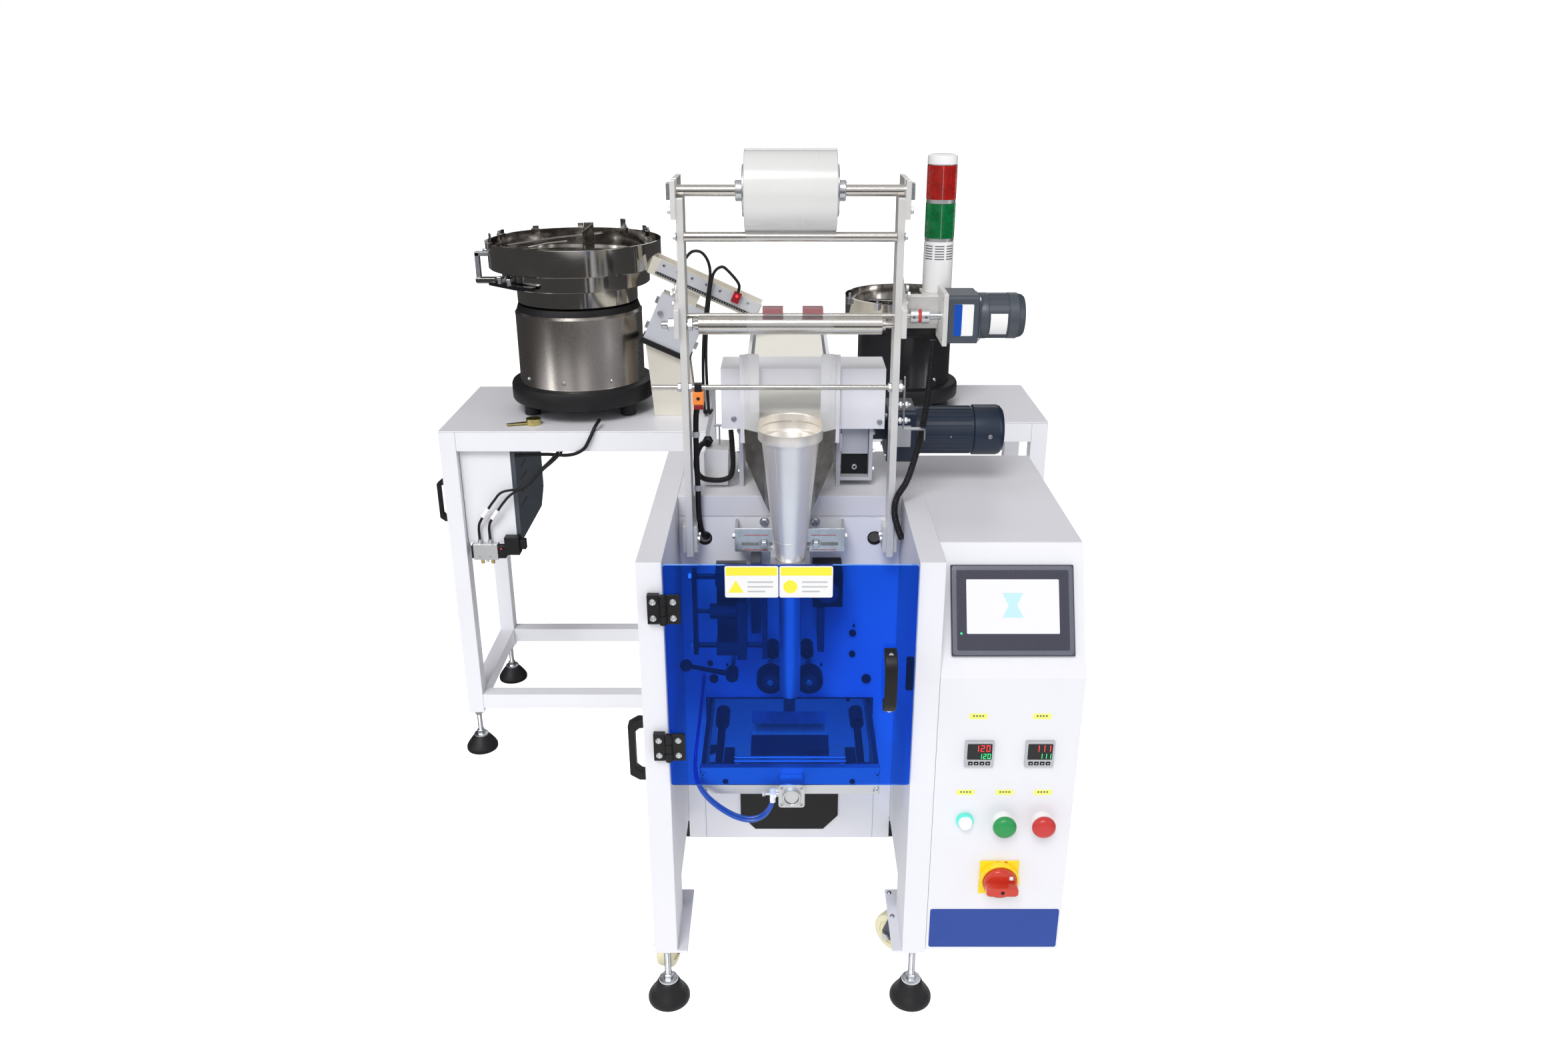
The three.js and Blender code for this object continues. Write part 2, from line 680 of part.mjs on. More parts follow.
function benches() {
  const side = LEFT_BENCH.x[0];
  const handle = outline('y', bridge(612, 716, 22, side + 1, 6), [868, 882]);
  const controller = [[870, 560], [1110, 560], [1150, 600], [1150, 789], [870, 789]];
  const hangers = [-740, -648].map((x) => block([x, x + 12], [960, 1060], [788, BENCH.top - 1]));
  const left = join(benchSolid(LEFT_BENCH), handle, outline('x', controller, [-750, -626]), ...hangers);
  part('left_bench', left, 'paint');
  part('right_bench', benchSolid(RIGHT_BENCH), 'paint');
}

function bowlBase(name, { x, y }, profile, footRadius) {
  const legs = [0, 1, 2].map((i) => {
    const angle = Math.PI / 2 + (2 * Math.PI * i) / 3;
    const place = [x + footRadius * Math.cos(angle), y + footRadius * Math.sin(angle)];
    return rod('z', [BENCH.top + GAP, profile[0][1] + 1], place, 16, 8);
  });
  part(name, join(turned('z', profile, [x, y], 28), ...legs), 'black');
}

function bowls() {
  const leftBase = [[0, 869], [167, 869], [167, 912], [146, 912], [146, 1093], [0, 1093]];
  bowlBase('left_bowl_base', LEFT_BOWL, leftBase, 130);
  const rightBase = [[0, 862], [131, 862], [131, 898], [117, 898], [117, 1040], [0, 1040]];
  bowlBase('right_bowl_base', RIGHT_BOWL, rightBase, 100);

  const leftProfile = [
    [0, 1097], [100, 1097], [100, 1105], [138, 1105], [138, 1137], [168, 1137], [168, 1175], [196, 1175],
    [196, 1234], [193, 1234], [193, 1178], [165, 1178], [165, 1140], [135, 1140], [135, 1125], [0, 1118],
  ];
  const outlet = block([-345, -280], [CHUTE.y[0] - 9, CHUTE.y[1] + 9], [1158, 1240]);
  const left = cut(turned('z', leftProfile, [LEFT_BOWL.x, LEFT_BOWL.y], 28), outlet);
  part('left_bowl', left, 'steel');
  const rightProfile = [
    [0, 1044], [100, 1044], [100, 1052], [142, 1052], [142, 1100], [139, 1100], [139, 1056], [108, 1062],
    [0, 1066],
  ];
  part('right_bowl', turned('z', rightProfile, [RIGHT_BOWL.x, RIGHT_BOWL.y], 28), 'steel');
}

// The point [x, z] at s along the chute's floor from its upper end and h above it.
function chutePoint(s, h) {
  const [x, z] = CHUTE.start;
  const [c, d] = [Math.cos(CHUTE.tilt), Math.sin(CHUTE.tilt)];
  return [x + s * c + h * d, z - s * d + h * c];
}

function chute() {
  const { length, y: [front, back], wall } = CHUTE;
  const section = (s0, s1, h0, h1) => [
    chutePoint(s0, h0), chutePoint(s1, h0), chutePoint(s1, h1), chutePoint(s0, h1),
  ];
  const trough = cut(
    outline('y', section(0, length, 0, wall), [front, back]),
    outline('y', section(-5, length + 5, 2, wall + 5), [front + 2, back - 2]),
  );
  const [vibratorLow, vibratorHigh] = [section(50, 160, -140, -30), section(80, 130, -31, 1)];
  const base = BENCH.top + GAP;
  const stand = [[-314, base], [-215, base], chutePoint(160, -139), chutePoint(50, -139)];
  const solid = join(
    trough,
    outline('y', vibratorLow, [front + 4, back - 4]),
    outline('y', vibratorHigh, [front + 14, back - 14]),
    outline('y', stand, [front + 8, back - 8]),
  );
  part('feed_chute', solid, 'steel');
}

// Conveyor between the benches, standing on the sealer's top cover and on a rear pair of legs

function loopShape(radius) {
  const [y0, y1] = BELT.y;
  const shape = new THREE.Shape();
  shape.absarc(y1, BELT.z, radius, -Math.PI / 2, Math.PI / 2, false);
  shape.absarc(y0, BELT.z, radius, Math.PI / 2, (3 * Math.PI) / 2, false);
  return shape;
}

function conveyor() {
  const { inner, outer, front, back, low, high, foot } = FRAME;
  const deck = BODY.top + GAP;
  const plate = [[front, deck], [foot, deck], [foot, low], [back, low], [back, high], [front, high]];
  const shaft = [BELT.y[0], BELT.z];
  const [x0, x1] = HEAD.x;
  const cover = cut(
    block(HEAD.x, HEAD.y, HEAD.z),
    block([x0 + 2, x1 - 2], [HEAD.y[0] + 2, HEAD.y[1] - 2], [HEAD.z[0] - 1, HEAD.z[1] - 2]),
    block([-inner, inner], [HEAD.y[0] - 1, HEAD.y[1] + 1], [HEAD.z[0] - 1, HEAD.z[1] - 30]),
  );
  const legY = [1190, 1228];
  const legs = [-1, 1].flatMap((side) => [
    block(span(side, 22, 22 + BENCH.leg), legY, [BENCH.legBottom, low]),
    benchFoot([side * (22 + BENCH.leg / 2), (legY[0] + legY[1]) / 2]),
    outline('x', plate, span(side, inner, outer)),
    block(span(side, inner, 88), [326, front + 1], [975, high]),
  ]);
  const window = cut(
    block([-88, 88], [326, 329], [975, 1135]),
    block([-55, 55], [325, 330], [986, 1140]),
  );
  const bracket = join(
    block([outer - 1, 150], [front, HEAD.y[1]], [896, 902]),
    block([143, 150], [front, HEAD.y[1]], [896, high]),
  );
  const idler = rod('x', [-inner - 1, inner + 1], [BELT.y[1], BELT.z], BELT.radius - 1, 20);
  const solid = cut(
    join(...legs, block([-outer, outer], legY, [low - 10, low + 5]), cover, window, bracket, idler),
    rod('x', [-100, 155], shaft, 8.6),
  );
  part('conveyor_frame', solid, 'paint');

  const loop = cut(
    extruded('x', loopShape(BELT.radius + BELT.thick), [-BELT.half, BELT.half]),
    extruded('x', loopShape(BELT.radius), [-BELT.half - 1, BELT.half + 1]),
  );
  part('conveyor_belt', loop, 'cream');
  const roller = join(
    rod('x', [-78, 78], shaft, BELT.radius - 1, 20),
    rod('x', [-96, 174], shaft, 8, 12),
  );
  part('drive_roller', roller, 'steel');

  const motor = cut(
    join(
      rod('x', [150.3, 176], shaft, 18),
      block([175, 227], [BELT.y[0] - 49, BELT.y[0] + 49], [BELT.z - 49, BELT.z + 49]),
      rod('x', [226, 336], shaft, 43, 20),
      turned('x', [[0, 335], [46, 335], [46, 380], [38, 389], [0, 389]], shaft, 20),
    ),
    rod('x', [150, 176.5], shaft, 8.6, 12),
  );
  part('conveyor_motor', motor, 'navy');
}

sideWall('left_wall', -1);
sideWall('right_wall', 1);
mechanismPlate();
covers();
outfeedGuard();
controlCabinet();
hmiPanel();
panelControls();
hinges();
doorHandle();
posts();
filmRoll();
filmRollers();
feedMotor();
towerLight();
motorConduit();
hopperTube();
formingCollar();
tubeBracket();
verticalSealer();
drawWheels();
releaseLever();
jaws();
levellingFeet();
caster('caster_left', -CASTER.x, Math.PI * 0.92);
caster('caster_right', CASTER.x, Math.PI * 0.26);
benches();
bowls();
chute();
conveyor();

// The origin goes to the middle of the base: halfway between the left bench's foot and the right bench's,
// and halfway between the switch knob and the right bench's rear feet.
machine.position.set(96, -618.5, 0);

export default machine;
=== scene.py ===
"""Looks of the vertical form fill sealer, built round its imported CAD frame.

Places are in the design's millimetres: x = 0 is the sealer's centre plane, y = 0 the front of its columns
and z = 0 the floor. ORIGIN shifts them to the row frame, which is in metres.
"""

import math

import bmesh
import bpy
from mathutils import Matrix, Vector


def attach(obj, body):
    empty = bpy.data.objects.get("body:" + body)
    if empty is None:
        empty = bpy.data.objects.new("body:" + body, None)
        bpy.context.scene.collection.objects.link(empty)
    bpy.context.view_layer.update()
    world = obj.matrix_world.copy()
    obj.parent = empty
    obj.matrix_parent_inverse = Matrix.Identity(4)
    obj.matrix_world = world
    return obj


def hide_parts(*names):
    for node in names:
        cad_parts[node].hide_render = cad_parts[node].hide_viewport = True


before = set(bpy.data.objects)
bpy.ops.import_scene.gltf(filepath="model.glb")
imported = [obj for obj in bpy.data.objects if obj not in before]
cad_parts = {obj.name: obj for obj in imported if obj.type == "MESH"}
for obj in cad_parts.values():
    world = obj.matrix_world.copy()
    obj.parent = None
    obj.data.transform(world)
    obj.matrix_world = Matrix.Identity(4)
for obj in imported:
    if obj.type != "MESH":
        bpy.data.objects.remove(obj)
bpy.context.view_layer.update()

MM = 0.001
ORIGIN = Vector((96.0, -618.5, 0.0))
SHARP = math.radians(35)
BUMP_HEIGHT = 0.0004
NOISE_RANGE = (0.3, 0.7)

# Where the shafts are: y and z of those that lie across the machine, x and z of those that point forward
ROLL_AXIS = (278, 1415)
PULL_AXIS = (262, 1201)
FEED_AXIS = (280.3, 1212)
EYE_ROD = (262, 1094)
BELT_ROLLER = (400, 978)
BELT_TAIL = (1210, 978)
CASTER_AXLE = (26, 52.5)
KNIFE_AXIS = (2.5, 437.5)
BUTTONS_Z = 408
HINGES_Z = (808, 557)
JAW_FRONT_END = 73

# Where the conveyor frame changes colour: rubber feet, grey foot rods, and grey legs behind the white head
FEET_TOP = 46
LEGS_BOTTOM = 111
HEAD_TOP = 996
HEAD_FRONT = 338

# Centres of the bowls, x and y
LEFT_BOWL = (-490, 1057)
RIGHT_BOWL = (277, 1096)


def place(point):
    return (Vector(point) + ORIGIN) * MM


# Camera and light


def make_camera():
    data = bpy.data.cameras.new("camera")
    data.lens = 26.63
    data.sensor_width = 36.0
    data.clip_end = 200.0
    camera = bpy.data.objects.new("camera", data)
    camera.location = (0.0855, -2.2695, 1.6)
    camera.rotation_euler = (math.radians(68.54), 0.0, 0.0)
    bpy.context.scene.collection.objects.link(camera)
    bpy.context.scene.camera = camera


def add_light(name, kind, energy, location, target, **settings):
    data = bpy.data.lights.new(name, kind)
    data.energy = energy
    for key, value in settings.items():
        setattr(data, key, value)
    light = bpy.data.objects.new(name, data)
    light.location = location
    light.rotation_euler = (Vector(target) - Vector(location)).to_track_quat("-Z", "Y").to_euler()
    bpy.context.scene.collection.objects.link(light)


def make_lights():
    """A soft key from the front left, and a box light on each other side and above."""
    middle = (0.1, -0.3, 0.8)
    add_light("key", "SUN", 1.6, (-0.9, -4.0, 5.0), middle, angle=math.radians(25))
    for name, energy, location, target, width, height in (
        ("left_box", 12, (-2.6, -1.6, 2.0), middle, 0.6, 2.4),
        ("right_box", 8, (2.8, -1.4, 1.8), middle, 0.5, 2.2),
        ("top_box", 11, (0.0, 0.3, 3.4), (0.0, 0.0, 1.0), 2.6, 2.4),
        ("back_box", 12, (0.6, 3.2, 2.8), middle, 2.4, 1.2),
    ):
        add_light(name, "AREA", energy, location, target, shape="RECTANGLE", size=width, size_y=height)


# Shader nodes


def feed(tree, node, inputs):
    """Gives each input of a node its value, or links it to the socket that it comes from."""
    for key, value in inputs.items():
        if isinstance(value, bpy.types.NodeSocket):
            tree.links.new(value, node.inputs[key])
        else:
            node.inputs[key].default_value = value


def add_node(tree, kind, inputs=None, **settings):
    node = tree.nodes.new("ShaderNode" + kind)
    for key, value in settings.items():
        setattr(node, key, value)
    feed(tree, node, inputs or {})
    return node


def ramp(tree, value, stops):
    """A colour ramp through (position, colour) stops in rising order."""
    node = add_node(tree, "ValToRGB", {"Fac": value})
    elements = node.color_ramp.elements
    for position, _ in stops[2:]:
        elements.new(position)
    for element, (position, colour) in zip(elements, stops):
        element.position = position
        element.color = colour
    return node.outputs["Color"]


def make_world():
    """A studio that is bright in front and dark behind, with soft upright bands for steel to show."""
    world = bpy.data.worlds.new("studio")
    bpy.context.scene.world = world
    world.use_nodes = True
    tree = world.node_tree
    tree.nodes.clear()
    spot = add_node(tree, "TexCoord").outputs["Generated"]
    split = add_node(tree, "SeparateXYZ", {0: spot})

    def shade(value, levels):
        return ramp(tree, value, [(at, (level, level, level * 1.02, 1)) for at, level in levels])

    def half(value, sign):
        return add_node(tree, "Math", {0: value, 1: 0.5 * sign, 2: 0.5}, operation="MULTIPLY_ADD").outputs[0]

    def times(a, b):
        return add_node(tree, "Mix", {0: 1.0, 6: a, 7: b}, data_type="RGBA", blend_type="MULTIPLY").outputs[2]

    bands = add_node(tree, "TexWave", {"Vector": spot, "Scale": 0.6, "Phase Offset": 0.9, "Distortion": 0.8,
                                       "Detail": 1.0}, bands_direction="X")
    front = shade(half(split.outputs["Y"], -1), ((0.0, 0.06), (0.5, 0.12), (0.72, 1.0), (1.0, 1.0)))
    height = shade(half(split.outputs["Z"], 1), ((0.5, 1.0), (0.85, 0.92), (1.0, 0.9)))
    stripes = shade(bands.outputs["Fac"], ((0.1, 0.45), (0.75, 1.0)))
    lit = add_node(tree, "Background", {"Strength": 0.86, "Color": times(times(front, height), stripes)})
    seen = add_node(tree, "Background", {"Color": (1, 1, 1, 1)})
    to_camera = add_node(tree, "LightPath").outputs["Is Camera Ray"]
    mix = add_node(tree, "MixShader", {0: to_camera, 1: lit.outputs[0], 2: seen.outputs[0]})
    add_node(tree, "OutputWorld", {0: mix.outputs[0]})


# Materials


def finish(name, colour, roughness, metallic=0.0, mottle=0.03, cloud=7.0, grain=900.0, depth=0.05,
           stretch=(1, 1, 1), spread=0.06, **sockets):
    """A surface whose colour, roughness and height vary with noise at the scale of its real finish."""
    material = bpy.data.materials.new(name)
    material.use_nodes = True
    tree = material.node_tree
    spot = add_node(tree, "TexCoord").outputs["Object"]
    along = add_node(tree, "Mapping", {"Scale": stretch, "Vector": spot}).outputs["Vector"]
    broad = add_node(tree, "TexNoise", {"Scale": cloud, "Detail": 4.0, "Vector": spot}).outputs["Fac"]
    fine = add_node(tree, "TexNoise", {"Scale": grain, "Detail": 3.0, "Vector": along}).outputs["Fac"]
    shades = [tuple(min(1.0, c * k) for c in colour) + (1.0,) for k in (1 - mottle, 1 + mottle)]
    greys = [(r, r, r, 1.0) for r in (max(0.0, roughness - spread), min(1.0, roughness + spread))]
    bump = add_node(tree, "Bump", {"Strength": depth, "Distance": BUMP_HEIGHT, "Height": fine})
    feed(tree, tree.nodes["Principled BSDF"], {
        "Base Color": ramp(tree, broad, list(zip(NOISE_RANGE, shades))),
        "Roughness": ramp(tree, fine, list(zip(NOISE_RANGE, greys))),
        "Metallic": metallic,
        "Normal": bump.outputs["Normal"],
        **{key.replace("_", " "): value for key, value in sockets.items()},
    })
    return material


def glowing(name, colour, roughness, mottle, glow, strength):
    return finish(name, colour, roughness, mottle=mottle, grain=300, depth=0.0, Emission_Color=(*glow, 1),
                  Emission_Strength=strength)


def mix_surface(tree, share, other):
    """Mixes another shader over the one that a finish has."""
    own = tree.nodes["Principled BSDF"].outputs[0]
    mix = add_node(tree, "MixShader", {0: share, 1: own, 2: other})
    feed(tree, tree.nodes["Material Output"], {"Surface": mix.outputs[0]})


def lets_lamps_through(material, tint):
    """Lamp rays and reflections pass this sheet with a pale tint, so that what stands near it is lit."""
    tree = material.node_tree
    clear = add_node(tree, "BsdfTransparent", {"Color": tint})
    path = add_node(tree, "LightPath").outputs
    mirrored = add_node(tree, "Math", {0: path["Is Glossy Ray"], 1: path["Is Transmission Ray"]},
                        operation="SUBTRACT", use_clamp=True)
    either = add_node(tree, "Math", {0: path["Is Shadow Ray"], 1: mirrored.outputs[0]}, operation="MAXIMUM")
    mix_surface(tree, either.outputs[0], clear.outputs[0])
    return material


PAINT = finish("white_powder_coat", (0.79, 0.79, 0.825), 0.42, mottle=0.012, grain=700, depth=0.12)
# The same white powder coat with a higher albedo: painted light on the mechanism plate and the conveyor head,
# which stand back from the front in less light.
PAINT_WITH_PAINTED_LIGHT = finish("powder_coat_with_painted_light", (0.92, 0.92, 0.95), 0.42, mottle=0.012, grain=700, depth=0.12)
GREY_PAINT = finish("grey_powder_coat", (0.50, 0.51, 0.55), 0.42, mottle=0.02, grain=700, depth=0.12)
SLATE = finish("slate_enamel", (0.060, 0.072, 0.090), 0.38, mottle=0.06, grain=500, depth=0.10)
NAVY = finish("navy_enamel", (0.013, 0.024, 0.048), 0.36, mottle=0.08, grain=420, depth=0.14)
BLACK = finish("black_nylon", (0.007, 0.007, 0.008), 0.44, mottle=0.10, grain=1500, depth=0.25,
               Specular_IOR_Level=0.35)
BLACK_GLOSS = finish("black_gloss", (0.006, 0.006, 0.008), 0.18, mottle=0.10, grain=300, depth=0.02)
RUBBER = finish("black_rubber", (0.009, 0.009, 0.010), 0.5, mottle=0.18, cloud=22, grain=800, depth=0.2,
                Specular_IOR_Level=0.35)
CHUTE_STEEL = finish("warm_sheet_steel", (0.80, 0.76, 0.66), 0.34, 0.35, mottle=0.06)
POST_METAL = finish("plated_post", (0.80, 0.79, 0.76), 0.38, 0.4, mottle=0.05, cloud=16, grain=1100,
                    depth=0.06)
MECHANISM = finish("blued_mechanism", (0.07, 0.072, 0.08), 0.32, 0.6, mottle=0.15, cloud=20, depth=0.1)
CONE_STEEL = finish("satin_cone", (0.96, 0.92, 0.85), 0.36, 0.75, mottle=0.02, cloud=14, grain=300,
                    depth=0.0, stretch=(1, 1, 0.02), spread=0.01)
ROD_STEEL = finish("ground_rod", (0.66, 0.63, 0.58), 0.2, 1.0, mottle=0.05, grain=1500,
                   stretch=(1, 0.1, 0.1), spread=0.05)
POLISHED = finish("polished_stainless", (0.56, 0.54, 0.51), 0.1, 1.0, mottle=0.06, cloud=11, grain=1200,
                  depth=0.02, stretch=(0.03, 0.03, 1), spread=0.03)
DRUM_STEEL = finish("satin_drum", (0.47, 0.435, 0.40), 0.25, 1.0, mottle=0.05, cloud=5, grain=1200,
                    depth=0.025, stretch=(0.3, 0.3, 1), spread=0.04)
DARK_DRUM = finish("black_glazed_drum", (0.012, 0.012, 0.013), 0.16, mottle=0.3, cloud=9, grain=600,
                   depth=0.02)
DARK_STEEL = finish("worn_stainless", (0.33, 0.315, 0.285), 0.34, 1.0, mottle=0.30, cloud=34, grain=1000,
                    depth=0.10, spread=0.1)
ZINC = finish("zinc_plate", (0.64, 0.655, 0.68), 0.3, 1.0, mottle=0.09, cloud=60, depth=0.06)
BRASS_ZINC = finish("yellow_zinc", (0.66, 0.56, 0.22), 0.3, 1.0, mottle=0.2, cloud=60, depth=0.06)
ALUMINIUM = finish("cast_aluminium", (0.68, 0.685, 0.69), 0.4, 0.9, mottle=0.05, grain=1200, depth=0.2)
CREAM = finish("cream_polyurethane", (0.83, 0.78, 0.52), 0.4, mottle=0.05, grain=600, depth=0.1)
BELT_CREAM = finish("cream_belt", (0.94, 0.91, 0.79), 0.5, grain=1600, depth=0.4)
ORANGE = finish("orange_housing", (0.90, 0.25, 0.03), 0.4, mottle=0.04, grain=1200, depth=0.1)
RED = finish("red_plastic", (0.58, 0.035, 0.03), 0.32, mottle=0.05, depth=0.06)
KNOB_RED = finish("knob_red", (0.55, 0.03, 0.012), 0.25, mottle=0.08, depth=0.06, Coat_Weight=0.4)
GREEN = finish("green_plastic", (0.018, 0.30, 0.075), 0.34, mottle=0.05, depth=0.06)
YELLOW = finish("yellow_plastic", (0.95, 0.66, 0.012), 0.38, grain=1000, depth=0.08)
LABEL_YELLOW = finish("label_yellow", (0.93, 0.80, 0.04), 0.4, grain=1000, depth=0.04)
MARKER = finish("yellow_marker", (0.86, 0.90, 0.18), 0.5, mottle=0.04, grain=1000, depth=0.04)
WHITE_PLASTIC = finish("white_plastic", (0.85, 0.85, 0.84), 0.3, mottle=0.02, depth=0.04)
LIGHT_GREY = finish("grey_bezel", (0.47, 0.48, 0.50), 0.4, grain=1300, depth=0.1)
BEZEL = finish("panel_bezel", (0.040, 0.042, 0.062), 0.3, mottle=0.05, grain=1000, depth=0.06)
BEZEL_EDGE = finish("panel_bezel_edge", (0.13, 0.135, 0.17), 0.28, mottle=0.05, grain=1000, depth=0.04)
PLATE_BLUE = finish("blue_plate", (0.008, 0.050, 0.30), 0.35, mottle=0.04, grain=700, depth=0.03)
STICKER = finish("white_sticker", (0.84, 0.84, 0.82), 0.4, mottle=0.02, grain=800, depth=0.02)
# Print on the markers, and painted shade in the tower light's louvre slots.
INK_AND_SLOT_SHADE = finish("print_and_slot_shade_grey", (0.10, 0.10, 0.11), 0.5, mottle=0.06, grain=800, depth=0.02)
CARD = finish("card_core", (0.42, 0.32, 0.21), 0.8, mottle=0.12, cloud=40, grain=700, depth=0.3)
FILM_ROLL = finish("wound_film", (0.70, 0.70, 0.675), 0.22, grain=500, stretch=(1, 0.05, 0.05),
                   Coat_Weight=0.6, Coat_Roughness=0.12)
WEB = finish("clear_film", (0.86, 0.88, 0.90), 0.12, mottle=0.02, grain=60, depth=0.3, Alpha=0.07,
             Coat_Weight=0.5)
CLEAR_RED = finish("red_guide", (0.30, 0.012, 0.02), 0.2, mottle=0.05, grain=400, Alpha=0.9)
HOSE_BLUE = finish("blue_hose", (0.004, 0.07, 0.42), 0.22, mottle=0.08, grain=300, Coat_Weight=0.3)
LENS_RED = finish("red_lens", (0.36, 0.008, 0.004), 0.12, mottle=0.25, cloud=60, grain=700, depth=0.1,
                  Coat_Weight=0.8, Coat_Roughness=0.05)
LENS_GREEN = finish("green_lens", (0.0, 0.16, 0.04), 0.12, mottle=0.25, cloud=60, grain=700, depth=0.1,
                    Coat_Weight=0.8, Coat_Roughness=0.05)
SCREEN = glowing("lit_screen", (0.08, 0.08, 0.09), 0.2, 0.01, (0.93, 0.92, 1.0), 0.93)
SCREEN_ICON = glowing("screen_icon", (0.05, 0.08, 0.09), 0.2, 0.01, (0.62, 0.93, 0.97), 0.88)
DIGIT_RED = glowing("red_digit", (0.8, 0.02, 0.02), 0.3, 0.02, (1.0, 0.03, 0.03), 2.2)
DIGIT_GREEN = glowing("green_digit", (0.02, 0.8, 0.2), 0.3, 0.02, (0.03, 1.0, 0.25), 1.6)
LAMP_GLOW = glowing("lamp_glow", (0.6, 1.0, 0.9), 0.2, 0.02, (0.62, 1.0, 0.9), 1.6)
LAMP_RING = glowing("lamp_ring", (0.12, 0.62, 0.52), 0.2, 0.04, (0.05, 0.75, 0.6), 0.25)
BLUE_ACRYLIC = lets_lamps_through(
    finish("blue_acrylic", (0.012, 0.135, 0.98), 0.03, mottle=0.01, grain=40, depth=0.02, spread=0.01,
           Transmission_Weight=1.0, IOR=1.49, Specular_IOR_Level=0.12, Specular_Tint=(0.1, 0.25, 1.0, 1)),
    (0.86, 0.92, 1.0, 1),
)

# Mesh building


class Shape:
    """A mesh in the making, in design millimetres, with a material for each face."""

    def __init__(self):
        self.bm = bmesh.new()
        self.materials = []

    def add(self, points, faces, material):
        if material not in self.materials:
            self.materials.append(material)
        verts = [self.bm.verts.new(point) for point in points]
        for corners in faces:
            face = self.bm.faces.new([verts[i] for i in corners])
            face.material_index = self.materials.index(material)
            face.smooth = True
        return verts

    def box(self, x, y, z, material):
        return self.prism("z", [(x[0], y[0]), (x[1], y[0]), (x[1], y[1]), (x[0], y[1])], z, material)

    def prism(self, axis, outline, span, material):
        """An outline in the two other axes, in x, y, z order, extruded along the named axis."""
        count = len(outline)
        points = [spread(axis, along, u, v) for along in span for u, v in outline]
        return self.add(points, [range(count), range(count, 2 * count), *walls(count)], material)

    def slab(self, axis, u, v, radius, span, material, steps=5):
        """A plate with round corners."""
        return self.prism(axis, rounded(u, v, radius, steps), span, material)

    def lathe(self, axis, profile, centre, material, sides=48, closed=False, arc=(0.0, 2 * math.pi)):
        """A profile of (radius, place along the axis) points, turned about the axis."""
        full = arc[1] - arc[0] > 2 * math.pi - 1e-6
        turns = sides if full else sides + 1
        points, rings = [], []
        for radius, along in profile:
            ring = []
            for i in range(turns if radius > 1e-6 else 1):
                angle = arc[0] + (arc[1] - arc[0]) * i / sides
                ring.append(len(points))
                points.append(spread(axis, along, *polar(centre, radius, angle)))
            rings.append(ring)
        pairs = list(zip(rings, rings[1:])) + ([(rings[-1], rings[0])] if closed else [])
        faces = []
        for low, high in pairs:
            for i in range(sides):
                j = (i + 1) % turns
                corners = [low[i % len(low)], low[j % len(low)], high[j % len(high)], high[i % len(high)]]
                faces.append(list(dict.fromkeys(corners)))
        if not full and closed:
            faces += [[ring[0] for ring in rings], [ring[-1] for ring in rings]]
        return self.add(points, [f for f in faces if len(f) > 2], material)

    def rod(self, axis, span, centre, radius, material, sides=40, chamfer=0.6):
        chamfer = min(chamfer, radius / 3, (span[1] - span[0]) / 3)
        return self.lathe(axis, bar_profile(span, 0, radius, chamfer), centre, material, sides)

    def ring(self, axis, span, centre, radii, material, sides=40):
        chamfer = min(0.5, (radii[1] - radii[0]) / 3, (span[1] - span[0]) / 3)
        return self.lathe(axis, bar_profile(span, *radii, chamfer), centre, material, sides, closed=True)

    def disc(self, axis, span, centre, radius, material, sides=48):
        low, high = span
        return self.lathe(axis, [(0, low), (radius, low), (radius, high), (0, high)], centre, material, sides)

    def nut(self, axis, span, centre, radius, material, bore=0.0):
        low, high = span
        c = min(0.8, (high - low) / 4)
        outside = [(radius * 0.9, low), (radius, low + c), (radius, high - c), (radius * 0.9, high)]
        profile = [(bore, low), *outside, (bore, high)]
        return self.lathe(axis, profile, centre, material, 6, closed=bore > 0)

    def bolt(self, axis, face, out, centre, radius, material):
        """A hexagon bolt head on its washer, standing out from a face towards +1 or -1 along the axis."""
        base = face + out * 1.2
        self.disc(axis, (face, base), centre, radius * 1.25, material, 28)
        tip = base + out * radius * 0.75
        profile = [(0, base), (radius, base), (radius, tip - out * 0.6), (radius * 0.88, tip), (0, tip)]
        self.lathe(axis, profile, centre, material, 6)

    def socket_screw(self, axis, face, out, centre, radius, material, height=None):
        """A socket head with its hexagonal recess, standing out towards +1 or -1 along the axis; the recess
        is coloured black as painted shade.
        """
        tip = face + out * (height or radius * 0.9)
        floor = tip - out * radius * 0.55
        self.lathe(axis, [(0.45 * radius, tip), (0.9 * radius, tip), (radius, tip - out * radius * 0.12),
                          (radius, face)], centre, material, 28)
        # The recess is drawn in black: painted shade in the hollow of the head.
        self.lathe(axis, [(0.45 * radius, tip), (0.45 * radius, floor), (0, floor)], centre, BLACK, 28)

    def tube(self, points, radius, material, sides=14, widths=None):
        """A tube along a line of points; widths may scale its radius at each of them."""
        line = [Vector(p) for p in points]
        side = None
        ring_points = []
        for i, here in enumerate(line):
            ahead = (line[min(i + 1, len(line) - 1)] - line[max(i - 1, 0)]).normalized()
            if side is None:
                side = ahead.orthogonal().normalized()
            side = (side - ahead * side.dot(ahead)).normalized()
            other = ahead.cross(side)
            r = radius * (widths[i] if widths else 1.0)
            for k in range(sides):
                angle = 2 * math.pi * k / sides
                ring_points.append(here + side * (r * math.cos(angle)) + other * (r * math.sin(angle)))
        faces = []
        for i in range(len(line) - 1):
            for k in range(sides):
                m = (k + 1) % sides
                faces.append((i * sides + k, i * sides + m, (i + 1) * sides + m, (i + 1) * sides + k))
        last = (len(line) - 1) * sides
        faces += [range(sides), range(last, last + sides)]
        return self.add(ring_points, faces, material)

